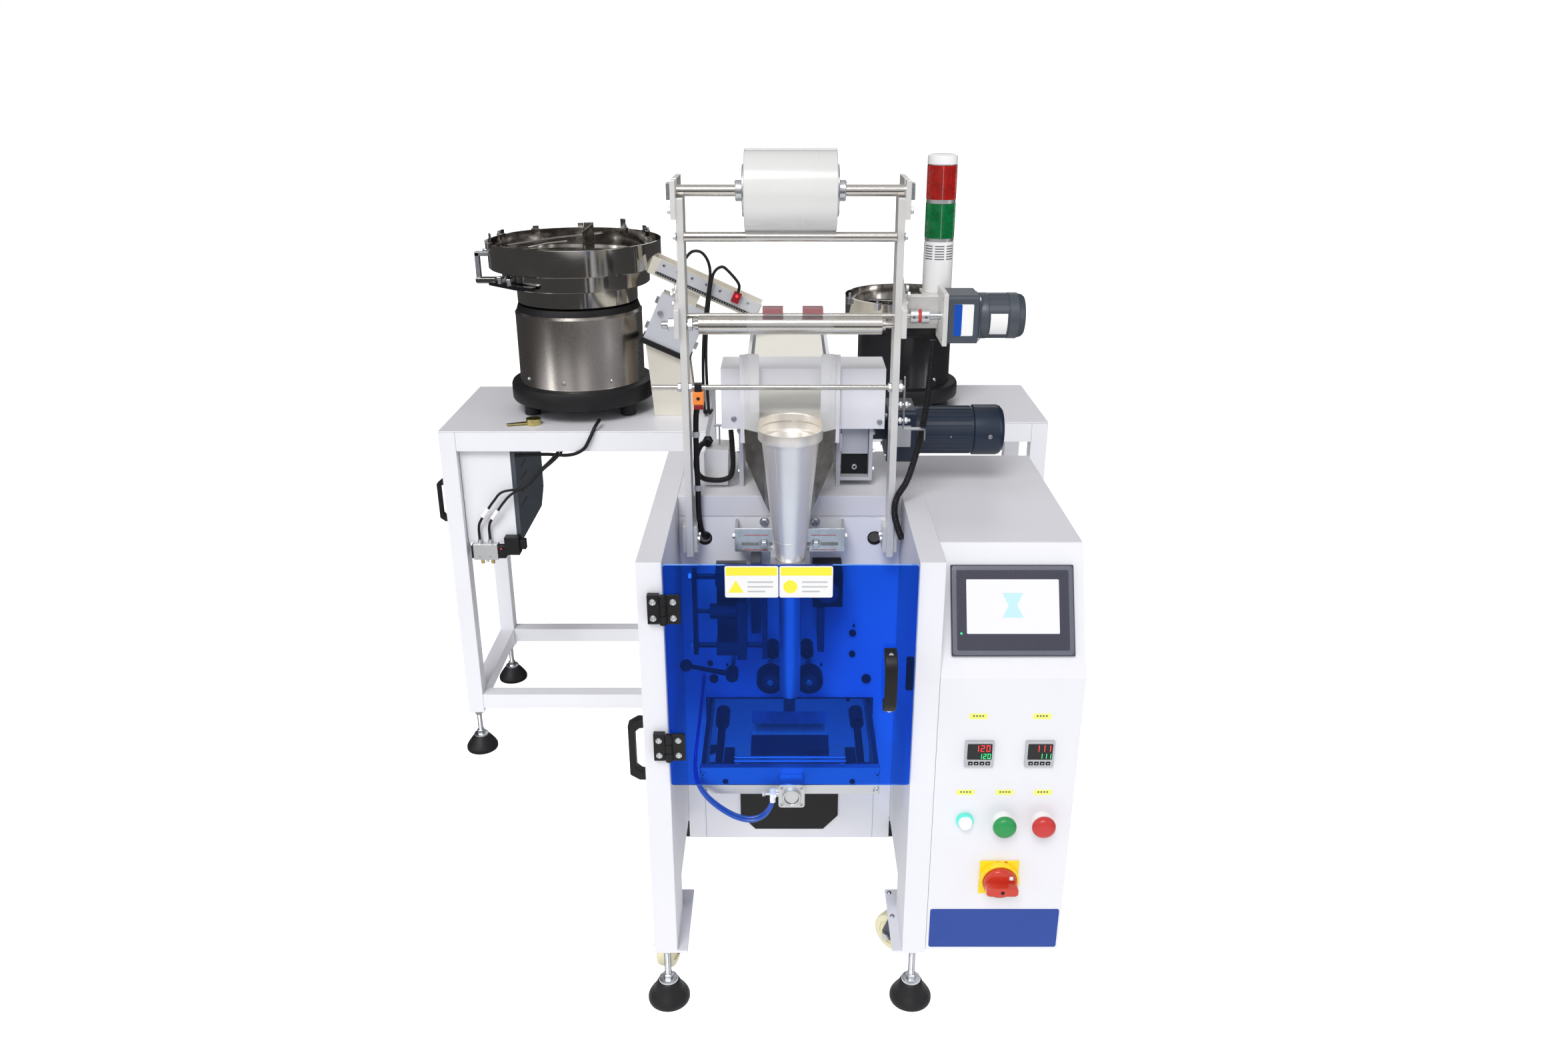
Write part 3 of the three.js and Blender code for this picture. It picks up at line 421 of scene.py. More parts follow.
    def band(self, axis, outer, inner, span, material):
        """A closed strip between two loops of as many points, such as a belt."""
        n = len(outer)
        points = [spread(axis, along, u, v) for along in span for loop in (outer, inner) for u, v in loop]
        faces = []
        for i in range(n):
            j = (i + 1) % n
            faces += [(i, j, 2 * n + j, 2 * n + i), (n + i, n + j, 3 * n + j, 3 * n + i),
                      (i, j, n + j, n + i), (2 * n + i, 2 * n + j, 3 * n + j, 3 * n + i)]
        return self.add(points, faces, material)

    def move(self, verts, matrix):
        bmesh.ops.transform(self.bm, matrix=matrix, verts=verts)

    def piece(self, name, body="machine", bevel=0.0, replaces=()):
        """Makes the object in the row frame under its name, rides it on its body and hides the CAD parts that
        it stands for.
        """
        bm = self.bm
        bmesh.ops.recalc_face_normals(bm, faces=bm.faces)
        for vert in bm.verts:
            vert.co = place(vert.co)
        if not bevel:
            for edge in bm.edges:
                edge.smooth = len(edge.link_faces) != 2 or edge.calc_face_angle() < SHARP
        mesh = bpy.data.meshes.new(name)
        bm.to_mesh(mesh)
        bm.free()
        for material in self.materials:
            mesh.materials.append(material)
        made = bpy.data.objects.new(name, mesh)
        bpy.context.scene.collection.objects.link(made)
        if bevel:
            round_edges(made, bevel)
        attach(made, body)
        if replaces:
            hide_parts(*replaces)
        return made


def bar_profile(span, inner, outer, c):
    """The profile of a round bar or tube with its outer edges chamfered by c."""
    low, high = span
    return [(inner, low), (outer - c, low), (outer, low + c), (outer, high - c), (outer - c, high),
            (inner, high)]


def polar(centre, radius, angle):
    return (centre[0] + radius * math.cos(angle), centre[1] + radius * math.sin(angle))


def around(centre, radius, count):
    """Points spaced evenly round a circle."""
    return [polar(centre, radius, 2 * math.pi * k / count) for k in range(count)]


def four(centre, offset):
    """The corners of a square, for the screws of a flange."""
    return [(centre[0] + u, centre[1] + v) for u in (-offset, offset) for v in (-offset, offset)]


def walls(count):
    """The faces between two loops of as many points."""
    return [(i, (i + 1) % count, count + (i + 1) % count, count + i) for i in range(count)]


def net(rows, columns):
    """The faces of an open sheet, its points given row by row."""
    corners = [i * columns + k for i in range(rows - 1) for k in range(columns - 1)]
    return [(a, a + 1, a + columns + 1, a + columns) for a in corners]


def thicken(made, thickness, offset=-1.0):
    skin = made.modifiers.new("thickness", "SOLIDIFY")
    skin.thickness = thickness
    skin.offset = offset


def spread(axis, along, u, v):
    return {"x": (along, u, v), "y": (u, along, v), "z": (u, v, along)}[axis]


def round_edges(made, width, segments=2):
    bevel = made.modifiers.new("edges", "BEVEL")
    bevel.width = width * MM
    bevel.segments = segments
    bevel.limit_method = "ANGLE"
    bevel.angle_limit = math.radians(40)
    bevel.use_clamp_overlap = False
    normals = made.modifiers.new("normals", "WEIGHTED_NORMAL")
    normals.keep_sharp = True


def dress(node, material, bevel=0.9):
    """Gives a CAD node its material and rounded edges, and leaves its own mesh as it is."""
    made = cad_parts[node]
    made.data.materials.clear()
    made.data.materials.append(material)
    weld = made.modifiers.new("weld", "WELD")
    weld.merge_threshold = 0.00002
    flat = made.modifiers.new("flat", "DECIMATE")
    flat.decimate_type = "DISSOLVE"
    flat.angle_limit = math.radians(0.6)
    flat.delimit = {"MATERIAL"}
    round_edges(made, bevel)
    return made


def rounded(u, v, radius, steps=5):
    """The outline of a rectangle with round corners."""
    (u0, u1), (v0, v1) = u, v
    corners = [(u1 - radius, v1 - radius), (u0 + radius, v1 - radius), (u0 + radius, v0 + radius),
               (u1 - radius, v0 + radius)]
    points = []
    for i, (cu, cv) in enumerate(corners):
        for k in range(steps + 1):
            angle = (i + k / steps) * math.pi / 2
            points.append(polar((cu, cv), radius, angle))
    return points


def centred(middle, width):
    return (middle - width / 2, middle + width / 2)


def smooth_line(points, steps=8):
    """A smooth line through the points: a Catmull-Rom curve."""
    p = [Vector(q) for q in points]
    p = [2 * p[0] - p[1], *p, 2 * p[-1] - p[-2]]
    line = []
    for a, b, c, d in zip(p, p[1:], p[2:], p[3:]):
        for k in range(steps):
            t = k / steps
            line.append(0.5 * (2 * b + (c - a) * t + (2 * a - 5 * b + 4 * c - d) * t * t
                               + (3 * b - a - 3 * c + d) * t ** 3))
    return [*line, p[-2]]


def cable(name, points, radius, material, ribs=None, replaces=(), with_pieces=()):
    """A free cable or hose on a smooth line, ribbed like a corrugated conduit if ribs is its pitch."""
    line = smooth_line(points)
    length = sum((b - a).length for a, b in zip(line, line[1:]))
    shape = Shape()
    if ribs:
        count = int(length / (ribs / 4))
        fine = resample(line, count)
        shape.tube(fine, radius, material, 14, [1.0 if i % 4 < 2 else 0.86 for i in range(len(fine))])
    else:
        shape.tube(line, radius, material, 14)
    made = shape.piece(name, replaces=replaces)


def resample(line, count):
    """As many even steps along a line."""
    lengths = [0.0]
    for a, b in zip(line, line[1:]):
        lengths.append(lengths[-1] + (b - a).length)
    points, k = [], 0
    for i in range(count + 1):
        want = lengths[-1] * i / count
        while k < len(line) - 2 and lengths[k + 1] < want:
            k += 1
        share = (want - lengths[k]) / max(lengths[k + 1] - lengths[k], 1e-9)
        points.append(line[k].lerp(line[k + 1], min(1.0, share)))
    return points


# Free cords


def motor_conduit():
    route = [
        (243, 296, 1168), (241, 294, 1120), (236, 290, 1060), (227, 283, 1000),
        (215, 272, 955), (203, 259, 925), (187, 251, 900), (183, 249, 874), (189, 249, 846), (198, 250, 822),
    ]
    cable("feed_motor_conduit", route, 6, BLACK, ribs=4.2, replaces=("motor_conduit",))


def sensor_sleeve():
    """The black sleeve from the photo eye down the left post into the plate's cable hole."""
    route = [
        (-160, 284, 1056), (-163, 286, 1035), (-164, 286, 1000), (-164, 286, 950), (-163, 286, 900),
        (-163, 286, 870), (-162, 287, 845), (-159, 291, 822), (-154, 300, 806), (-150, 316, 800),
    ]
    cable("sensor_sleeve", route, 5, BLACK)
    ties = Shape()
    for z in (1004, 905):
        ties.ring("z", (z - 5, z + 5), (-164 if z > 950 else -163, 286), (5.1, 6.4), LIGHT_GREY)
    ties.piece("sleeve_ties")


def bowl_cable():
    route = [
        (-430, 889, 852), (-431, 868, 852), (-436, 850, 845), (-446, 843, 824), (-460, 843, 800),
        (-480, 848, 786), (-505, 858, 778), (-530, 868, 776), (-552, 874, 775), (-575, 876, 774),
        (-600, 876, 773), (-627, 876, 772),
    ]
    cable("bowl_cable", route, 4, BLACK)


def air_hoses():
    for i, shift in enumerate((0, 9)):
        route = [
            (-30, 34 + shift, 424), (-33, 30 + shift, 412), (-45, 26 + shift, 396), (-66, 24 + shift, 388),
            (-92, 26 + shift, 392), (-118, 32 + shift, 404), (-141, 38 + shift, 422),
            (-157, 44 + shift, 444), (-163, 50 + shift, 470), (-163, 60 + shift, 494),
            (-161, 80 + shift, 512), (-160, 110 + shift, 520), (-160, 160 + shift, 522),
            (-161, 220 + shift, 521), (-162, 299, 520),
        ]
        cable(f"air_hose_{i + 1}", route, 3, HOSE_BLUE)


# Casing


def casing():
    for node in ("left_wall", "right_wall", "control_cabinet"):
        dress(node, PAINT, 1.2)
    for node in ("top_cover", "rear_cover"):
        dress(node, PAINT, 0.6)
    # The mechanism plate takes the brighter copy of the white paint: painted light behind the door.
    dress("mechanism_plate", PAINT_WITH_PAINTED_LIGHT, 0.6)
    dress("outfeed_guard", BLACK, 0.8)

    trim = Shape()
    for x in (-154, 154):
        trim.ring("y", (298.6, 307), (x, 803), (11, 13), BLACK)
    for x, z, r in ((118, 612, 6.5), (118, 568, 6), (120, 628, 2.2), (-150, 548, 5), (-144, 515, 8.5),
                    (146, 515, 9), (-118, 545, 2.2), (60, 545, 2.2), (112, 470, 4)):
        trim.lathe("y", [(0, 300), (r, 300), (r, 296), (r - 1.2, 294.6), (0, 294.6)], (x, z), BLACK, 28)
    trim.piece("plate_plugs")

    seams = Shape()
    for x in (-167, 167):
        seams.box((x - 0.5, x + 0.5), (299.4, 300.2), (150, 412), GREY_PAINT)
    seams.box((-200, 200), (299.4, 300.2), (846, 846.8), GREY_PAINT)
    seams.piece("plate_seams")

    screws = Shape()
    for side in (-1, 1):
        for z in (240, 420, 640, 840):
            for y in (30, 530):
                screws.lathe("x", [(0, side * 242), (5, side * 242), (5, side * 243), (3.5, side * 244.2),
                                   (0, side * 244.6)], (y, z), ZINC, 20)
    for x in (-180, 180):
        for z in (230, 540, 860):
            screws.lathe("y", [(0, 560), (5, 560), (5, 561), (3.5, 562.2), (0, 562.6)], (x, z), ZINC, 20)
        for y in (91, 157):
            screws.lathe("z", [(0, 127), (4.4, 127), (4.4, 128), (3, 129.6), (0, 130)], (side * 191, y),
                         ZINC, 20)
    screws.piece("casing_screws")


def side_handle():
    """The bridge handle on the sealer's left wall."""
    grip = Shape()
    outline = [
        (-242, 460), (-258, 460), (-274, 470), (-274, 567), (-258, 577), (-242, 577), (-242, 563),
        (-254, 562), (-263, 554), (-263, 483), (-254, 475), (-242, 474),
    ]
    grip.prism("y", outline, (40, 60), BLACK)
    grip.piece("side_handle", bevel=1.6)


def blank_label(shape, x, z, y, width, height, material, thick=0.5):
    shape.slab("y", centred(x, width), centred(z, height), min(3, height / 5), (y - thick, y), material, 3)


def markers():
    tags = Shape()
    for x, z in ((308, 610), (412, 610), (295, 463), (361, 463), (425, 463)):
        blank_label(tags, x, z, -0.05, 30, 10, MARKER, 0.45)
        for k in range(4):
            blank_label(tags, x - 7.5 + 5 * k, z + 0.8, -0.45, 3, 3, INK_AND_SLOT_SHADE, 0.15)
    tags.piece("panel_markers")
    plate = Shape()
    plate.slab("y", (247, 474), (137, 220), 4, (-0.9, -0.05), PLATE_BLUE)
    plate.piece("blank_name_plate", bevel=0.25)


# Operator panel and controls


def slope_point(s, out):
    rise, run = 877.0 - 680.0, 100.0
    length = math.hypot(run, rise)
    ty, tz = run / length, rise / length
    return (s * ty - out * tz, 680 + s * tz + out * ty)


def slope_plate(shape, outline, inside, outside, material):
    """An outline in x and distance up the slope, as a plate between two heights over the slope."""
    n = len(outline)
    points = [(x, *slope_point(s, out)) for out in (inside, outside) for x, s in outline]
    shape.add(points, [range(n), range(n, 2 * n), *walls(n)], material)


def operator_panel():
    dress("hmi_panel", BEZEL, 1.6)
    x = 360
    rim = Shape()
    outer = rounded(centred(x, 196), (38, 182), 5)
    inner = rounded(centred(x, 186), (43, 177), 4)
    n = len(outer)
    points = [(u, *slope_point(s, 6.05)) for u, s in outer] + [(u, *slope_point(s, 6.9)) for u, s in inner]
    rim.add(points, [*walls(n), range(n, 2 * n)], BEZEL_EDGE)
    slope_plate(rim, rounded(centred(x, 182), (45, 175), 3), 6.2, 7.1, BEZEL)
    rim.piece("panel_rim")
    face = Shape()
    slope_plate(face, rounded(centred(x, 150), (72, 160), 1.5, 2), 6.5, 7.4, SCREEN)
    face.piece("panel_screen")
    icon = Shape()
    glass = [(x - 17, 138), (x - 7, 118), (x - 17, 98), (x + 17, 98), (x + 7, 118), (x + 17, 138)]
    slope_plate(icon, glass, 7.3, 7.5, SCREEN_ICON)
    slope_plate(icon, rounded(centred(x - 84, 3), (71, 74), 1.2, 3), 7.0, 7.5, DIGIT_GREEN)
    icon.piece("panel_icon_and_led")


SEGMENTS = {"0": "abcdef", "1": "bc", "2": "abged"}


def digit(shape, char, x, z, height, material, y):
    """One seven-segment digit, its lower left corner at x, z."""
    w, t = height * 0.52, height * 0.11
    across, left, right = (x, x + w), (x, x + t), (x + w - t, x + w)
    lower, upper = (z, z + height / 2), (z + height / 2, z + height)
    bars = {
        "a": (across, (z + height - t, z + height)), "b": (right, upper), "c": (right, lower),
        "d": (across, (z, z + t)), "e": (left, lower), "f": (left, upper),
        "g": (across, (z + height / 2 - t / 2, z + height / 2 + t / 2)),
    }
    for name in SEGMENTS[char]:
        (x0, x1), (z0, z1) = bars[name]
        shape.box((x0 + 0.2, x1 - 0.2), (y - 0.15, y), (z0 + 0.2, z1 - 0.2), material)


def temperature_controllers():
    z = 540
    for node, x, text in (("temperature_controller_left", 313, "120"),
                          ("temperature_controller_right", 413, "111")):
        dress(node, LIGHT_GREY, 1.0)
        face = Shape()
        face.slab("y", centred(x, 41), (z - 9, z + 21), 1.5, (-6.5, -5.9), BLACK_GLOSS, 3)
        for k in range(4):
            key = centred(x - 14.4 + 9.6 * k, 7.6)
            face.slab("y", key, (z - 19.5, z - 13), 1.2, (-7.0, -5.9), BLACK, 3)
            face.slab("y", centred(x - 14.4 + 9.6 * k, 3), (z - 17, z - 15.6), 0.5, (-7.2, -6.9),
                      WHITE_PLASTIC, 2)
        face.piece(node + "_face", bevel=0.25)
        lit = Shape()
        for i, char in enumerate(text):
            digit(lit, char, x - 8 + 9.4 * i, z + 6.6, 12, DIGIT_RED, -6.55)
            digit(lit, char, x - 1 + 7.2 * i, z - 7, 9.6, DIGIT_GREEN, -6.55)
        lit.piece(node + "_digits")


def panel_buttons():
    lamp = Shape()
    centre = (296.5, BUTTONS_Z)
    lamp.lathe("y", [(10.5, 0), (14.5, -0.3), (14.5, -6), (13.4, -8), (11.5, -8.6), (10.5, -8)], centre,
               LAMP_RING)
    lamp.lathe("y", [(11, -7), (10.8, -12), (9, -16.5), (5, -19.2), (0, -20)], centre, LAMP_GLOW)
    lamp.piece("pilot_lamp_lens", replaces=("pilot_lamp",))
    for name, node, x, body, material, slot in (
        ("start_mushroom", "start_button", 361, "start", GREEN, "green_plastic"),
        ("stop_mushroom", "stop_button", 427, "stop", RED, "red_plastic"),
    ):
        cap = Shape()
        profile = [(0, -31.6), (7, -31.4), (12, -30.6), (16, -28.8), (18.8, -26), (20, -22.4), (19.6, -19),
                   (18, -16.6), (15, -15.6), (9, -15.2), (9, 8), (0, 8)]
        cap.lathe("y", profile, (x, BUTTONS_Z), material, 56)
        cap.piece(name, body, replaces=(node,))
    collars = Shape()
    for x in (361, 427):
        profile = [(9.6, 0), (16.5, -0.2), (16.5, -3), (14.6, -4), (13.8, -8.4), (13, -9.6), (9.6, -9.6)]
        collars.lathe("y", profile, (x, BUTTONS_Z), WHITE_PLASTIC, 48, closed=True)
    collars.piece("button_collars")


def main_switch():
    dress("switch_base", YELLOW, 1.4)
    x, z = 362, 290
    base = Shape()
    base.ring("y", (-15, -3.2), (x, z), (29.8, 33.6), YELLOW, 56)
    for k, (w, h) in enumerate(((9, 5), (6, 5))):
        mark = rounded(centred(x - 2 + 12 * k, w), centred(z + 31.2, h), 1, 2)
        base.prism("y", mark, (-3.9, -3.2), KNOB_RED)
    base.piece("switch_boss")
    knob = Shape()
    profile = [(0, -25), (24, -24.8), (27.5, -23.4), (29, -20), (29.2, -12), (28.4, -5), (26, -4.2),
               (0, -4.2)]
    knob.lathe("y", profile, (x, z), KNOB_RED, 60)
    grip = [(x - 27, z - 5), (x - 22, z - 8.2), (x + 22, z - 8.2), (x + 27, z - 5), (x + 27, z + 5),
            (x + 22, z + 8.2), (x - 22, z + 8.2), (x - 27, z + 5)]
    knob.prism("y", grip, (-44.1, -24), KNOB_RED)
    knob.slab("y", centred(x + 17, 7), centred(z + 15, 7), 1.5, (-25.4, -24.6), WHITE_PLASTIC)
    knob.rod("y", (-44.4, -43), (x, z), 3.2, BLACK, 24)
    knob.piece("switch_grip", "knob", bevel=1.1, replaces=("switch_knob",))


# Guard door


def guard_door():
    sheet = Shape()
    sheet.slab("y", (-199, 199), (481, 882), 4, (-6, -1), BLUE_ACRYLIC)
    sheet.piece("door_sheet", "door", bevel=0.4, replaces=("guard_door",))

    leaves = Shape()
    for height in HINGES_Z:
        leaves.slab("y", (-196, -173), (height - 25, height + 25), 3, (-11, -6.1), BLACK)
        for low, high in ((height - 25, height - 8.6), (height + 8.6, height + 25)):
            leaves.box((-200, -194), (-15, -9), (low, high), BLACK)
            leaves.ring("z", (low, high), (-200, -12), (2.8, 6), BLACK, 32)
    leaves.piece("hinge_moving_leaves", "door", bevel=0.5)
    for node in ("hinge_upper", "hinge_lower"):
        dress(node, BLACK, 0.6)
    for name, x, body, face in (("hinge_door_screws", -184, "door", -11),
                                ("hinge_wall_screws", -216, "machine", -11.5)):
        screws = Shape()
        for height in HINGES_Z:
            for z in (height - 14, height + 14):
                screws.lathe("y", [(0, face), (5.6, face), (5.2, face - 1.6), (3.4, face - 2.4),
                                   (3.2, face - 1.2), (0, face - 1.2)], (x, z), ZINC, 28)
        screws.piece(name, body)

    handle = Shape()
    side = [(-6.3, 630), (-20, 631), (-33, 640), (-41, 656), (-41, 714), (-33, 730), (-20, 739), (-6.3, 740),
            (-6.3, 722), (-18, 721), (-27, 714), (-32, 704), (-32, 666), (-27, 656), (-18, 649), (-6.3, 648)]
    handle.prism("x", side, (149, 169), BLACK)
    handle.piece("door_grip", "door", bevel=1.8, replaces=("door_handle",))
    bolts = Shape()
    for z in (636, 734):
        bolts.socket_screw("y", -21, -1, (159, z), 4.4, ZINC)
    bolts.piece("door_grip_screws", "door")

    catch = Shape()
    catch.slab("y", (186, 198), (660, 720), 2, (-1, 3), BLACK)
    for z in (667, 690, 713):
        catch.socket_screw("y", -1, 1, (192, z), 1.8, ZINC, 4.6)
    catch.piece("door_catch", bevel=0.4)

    for k, (low, high) in enumerate(((-102.5, -19.3), (-17.7, 65.5))):
        label = Shape()
        label.slab("y", (low, high), (827.5, 881), 3, (-6.5, -6.02), STICKER)
        label.slab("y", (low + 2, high - 2), (865, 879), 1.5, (-6.75, -6.4), LABEL_YELLOW)
        label.slab("y", (low + 2, high - 2), (829.5, 863.5), 1.5, (-6.68, -6.4), STICKER)
        x, z = low + 17, 846
        if k == 0:
            label.prism("y", [(x - 12, z - 10), (x + 12, z - 10), (x, z + 11)], (-6.95, -6.6), LABEL_YELLOW)
        else:
            label.disc("y", (-6.6, -6.95), (x, z), 11, LABEL_YELLOW, 40)
        for row, width in enumerate((40, 40, 28)):
            bar = (low + 35, low + 35 + width)
            label.slab("y", bar, centred(z + 8 - 8 * row, 2.2), 0.9, (-6.9, -6.6), LIGHT_GREY, 2)
        label.piece(f"door_sticker_{k + 1}", "door")


# Film frame


def film_frame():
    for node in ("post_left", "post_right"):
        dress(node, POST_METAL, 0.9)

    bolts = Shape()
    for side in (-1, 1):
        for y, z, r in ((266, 1385, 6.2), (256, 1345, 5.4), (258, 1252, 5.2), (278, 1233, 4.6),
                        (285, 1258, 5.0)):
            bolts.bolt("x", side * 192.1 if z != 1345 else side * 184.1, side, (y, z), r, ZINC)
        for y in (268, 289):
            bolts.bolt("x", side * 165, -side, (y, 815), 5, ZINC)
        bolts.box((side * 192.3, side * 199.5), (267, 291), (1401, 1427), ZINC)
    bolts.piece("frame_bolts", bevel=0.3)

    rods = Shape()
    rods.rod("x", (-171.7, 171.7), (256, 1345), 8, ROD_STEEL)
    rods.piece("guide_rod_ground", replaces=("guide_rod",))

    shaft = Shape()
    shaft.rod("x", (-196, 196), ROLL_AXIS, 9.2, ROD_STEEL)
    for side in (-1, 1):
        for low, high, r in ((62, 74.6, 37), (74.4, 77.6, 41), (77.4, 88.6, 16.5)):
            shaft.rod("x", sorted((side * low, side * high)), ROLL_AXIS, r, ZINC, 56, 0.8)
        shaft.socket_screw("x", side * 88.6, side, (278, 1428), 2.0, ZINC)
    shaft.piece("roll_shaft_turned", "roll", replaces=("roll_shaft",))

    roll = Shape()
    profile = [(39, -74), (63.6, -74), (65, -72.8), (65, 72.8), (63.6, 74), (39, 74)]
    roll.lathe("x", profile, ROLL_AXIS, FILM_ROLL, 96, closed=True)
    roll.ring("x", (-74, 74), ROLL_AXIS, (37.4, 39), CARD, 72)
    roll.piece("wound_film", "roll", replaces=("film_roll",))

    pull = Shape()
    profile = [(0, -178), (5.6, -178), (6, -177), (6, -158), (9, -158), (9, -152.2), (15.4, -152.2),
               (16, -151.6), (16, -146), (15.6, -145.8), (15.6, -145), (16, -144.8), (16, 127), (15.6, 127.2),
               (15.6, 128), (16, 128.2), (16, 151.6), (15.4, 152.2), (9, 152.2), (9, 158), (6, 158),
               (6, 177), (5.6, 178), (0, 178)]
    pull.lathe("x", profile, PULL_AXIS, ROD_STEEL, 64)
    pull.nut("x", (-170, -162), PULL_AXIS, 11, ZINC)
    pull.piece("pull_roller_ground", "pull", replaces=("pull_roller",))
    nuts = Shape()
    nuts.nut("x", (-203, -192.3), PULL_AXIS, 11, ZINC)
    nuts.rod("x", (-214, -202), PULL_AXIS, 6, ZINC, 28)
    for x in range(-213, -203, 2):
        nuts.ring("x", (x, x + 1), PULL_AXIS, (6, 6.5), ZINC, 24)
    nuts.piece("pull_roller_clamp")

    feed = Shape()
    feed.rod("x", (-182, 201), FEED_AXIS, 5, ROD_STEEL, 32)
    for low, high in ((200, 213.5), (218.5, 232)):
        feed.rod("x", (low, high), FEED_AXIS, 12.5, ALUMINIUM, 48)
    feed.disc("x", (213, 219), FEED_AXIS, 11.4, RED)
    feed.rod("x", (231, 257), FEED_AXIS, 6, ZINC, 28)
    for x in (206, 226):
        feed.socket_screw("y", 268.3, -1, (x, 1212), 2.2, BLACK, 0.8)
    feed.piece("feed_shaft_and_coupling", "feed", replaces=("feed_shaft",))

    guides = Shape()
    for low, high in ((-46, -12), (20, 54)):
        guides.box((low, high), (246, 272), (1222, 1231), CLEAR_RED)
    guides.piece("film_edge_guides", bevel=0.6)


def photo_eye():
    rod = Shape()
    rod.rod("x", (-234, 194), EYE_ROD, 4.5, ROD_STEEL, 32)
    for low, high in ((-190.4, -184.2), (-172, -165.8), (165.8, 171.8), (184.2, 190.6)):
        rod.nut("x", (low, high), EYE_ROD, 8, ZINC)
    rod.box((-162, -150), (255, 269), (1088, 1101), BLACK)
    rod.piece("eye_rod_and_nuts", bevel=0.3, replaces=("photo_eye_rod",))
    eye = Shape()
    eye.slab("x", (255, 285), (1064, 1088), 3, (-165, -147), ORANGE)
    eye.slab("x", (257, 283), (1056, 1064), 2, (-164, -148), CLEAR_RED)
    eye.rod("y", (253.8, 256), (-156, 1076), 3, BLACK, 24)
    eye.piece("photo_eye", bevel=0.8)


def z_bracket():
    """The folded strip on the right post's studs, beside the conduit."""
    strip = Shape()
    strip.box((193, 195.2), (256, 268), (1022, 1112), ZINC)
    strip.box((194, 232), (256, 268), (1020, 1022.2), ZINC)
    strip.box((230, 232.2), (256, 268), (1002, 1022), ZINC)
    strip.piece("z_bracket", bevel=0.3)
    studs = Shape()
    for z in (1064, 1036):
        studs.rod("x", (172, 206), (262, z), 3, ZINC, 24)
        studs.nut("x", (186, 191), (262, z), 5.6, ZINC)
        studs.nut("x", (196, 201), (262, z), 5.6, ZINC)
    studs.piece("z_bracket_studs")


def film_web():
    """The clear web from the roll past the guide rod, round the pull roller and down to the collar."""
    web = Shape()
    line = [(216, 1400), (232, 1372), (247.2, 1345), (245.4, 1320), (245.2, 1290), (245.4, 1250),
            (245.4, 1201), (247, 1186), (250, 1165), (252, 1130), (254, 1098), (254, 1070), (250, 1052)]
    fine = smooth_line([(0, y, z) for y, z in line], 5)
    columns = 19
    points = []
    for p in fine:
        drop = max(0.0, (1190 - p.z) / 140)
        for k in range(columns):
            share = k / (columns - 1) * 2 - 1
            ripple = 2.2 * drop * math.sin(9 * share + 0.09 * p.z) + 5 * drop * share * share
            points.append(((72 - 4 * drop) * share, p.y + ripple, p.z))
    web.add(points, net(len(fine), columns), WEB)
    thicken(web.piece("film_web"), 0.0003, 0.0)


def feed_motor():
    y, z = 280, 1213
    motor = Shape()
    motor.slab("x", (y - 40, y + 40), (z - 40, z + 40), 7, (258.3, 309), SLATE)
    motor.slab("x", (y - 36, y + 36), (z - 36, z + 36), 10, (309, 314), SLATE)
    motor.piece("feed_gearhead", bevel=1.4)
    barrel = Shape()
    profile = [(0, 313), (37.4, 313), (38, 314), (38, 326), (36.6, 327), (36.6, 360), (38, 361), (38, 376),
               (36.6, 377.4), (35, 384), (32, 387.6), (0, 388)]
    barrel.lathe("x", profile, (y, z), SLATE, 72)
    for rib in around((y, z), 36.7, 18):
        barrel.rod("x", (327.5, 359.5), rib, 0.9, SLATE, 8)
    barrel.piece("feed_motor_barrel", replaces=("feed_motor",))
    screws = Shape()
    for corner in four((y, z), 33):
        screws.socket_screw("x", 258, -1, corner, 4, ZINC, 8.2)
        screws.socket_screw("x", 309, 1, corner, 3.2, ZINC, 3)
    screws.piece("feed_motor_screws")
    label = Shape()
    label.slab("y", (268, 300), (z - 26, z + 26), 2, (y - 40.6, y - 39.9), STICKER)
    label.slab("y", (268, 281), (z - 26, z + 26), 2, (y - 40.9, y - 40.4), HOSE_BLUE)
    arc = (math.radians(165), math.radians(222))
    label.lathe("x", [(37.2, 329), (38.3, 329), (38.3, 357), (37.2, 357)], (y, z), STICKER, 24, True, arc)
    label.piece("feed_motor_labels", bevel=0.1)


def tower_light():
    centre = (252, 352)
    body = Shape()
    profile = [(0, 1241.3), (25, 1241.3), (25, 1322), (23.6, 1326), (0, 1326)]
    body.lathe("z", profile, centre, WHITE_PLASTIC, 64)
    profile = [(23, 1450), (25, 1451), (25, 1461), (24, 1464.5), (21, 1466), (0, 1466)]
    body.lathe("z", profile, centre, WHITE_PLASTIC, 64)
    body.piece("tower_housing", replaces=("tower_light",))
    # Dark strips on the housing for the louvre slots: painted shade in the openings.
    louvre_shades = Shape()
    for row in range(6):
        z = 1297 + 4.3 * row
        for start in (203, 249, 295):
            arc = (math.radians(start), math.radians(start + 36))
            slot = [(24.6, z), (25.15, z), (25.15, z + 1.7), (24.6, z + 1.7)]
            louvre_shades.lathe("z", slot, centre, INK_AND_SLOT_SHADE, 12, True, arc)
    louvre_shades.piece("tower_louvre_shade_strips")
    rings = Shape()
    for low, high in ((1326, 1332), (1388, 1395), (1449, 1451)):
        rings.rod("z", (low, high), centre, 24.4, ALUMINIUM, 64)
    rings.piece("tower_rings")
    for name, low, high, material in (("tower_lens_green", 1332, 1388, LENS_GREEN),
                                      ("tower_lens_red", 1395, 1449, LENS_RED)):
        lens = Shape()
        ribs, grooves = around(centre, 24.9, 120), around(centre, 24.1, 120)
        lens.prism("z", [(ribs if k % 2 else grooves)[k] for k in range(120)], (low, high), material)
        for z in range(int(low) + 8, int(high) - 4, 9):
            lens.ring("z", (z, z + 0.8), centre, (24, 25), material, 64)
        lens.piece(name)


# Forming set


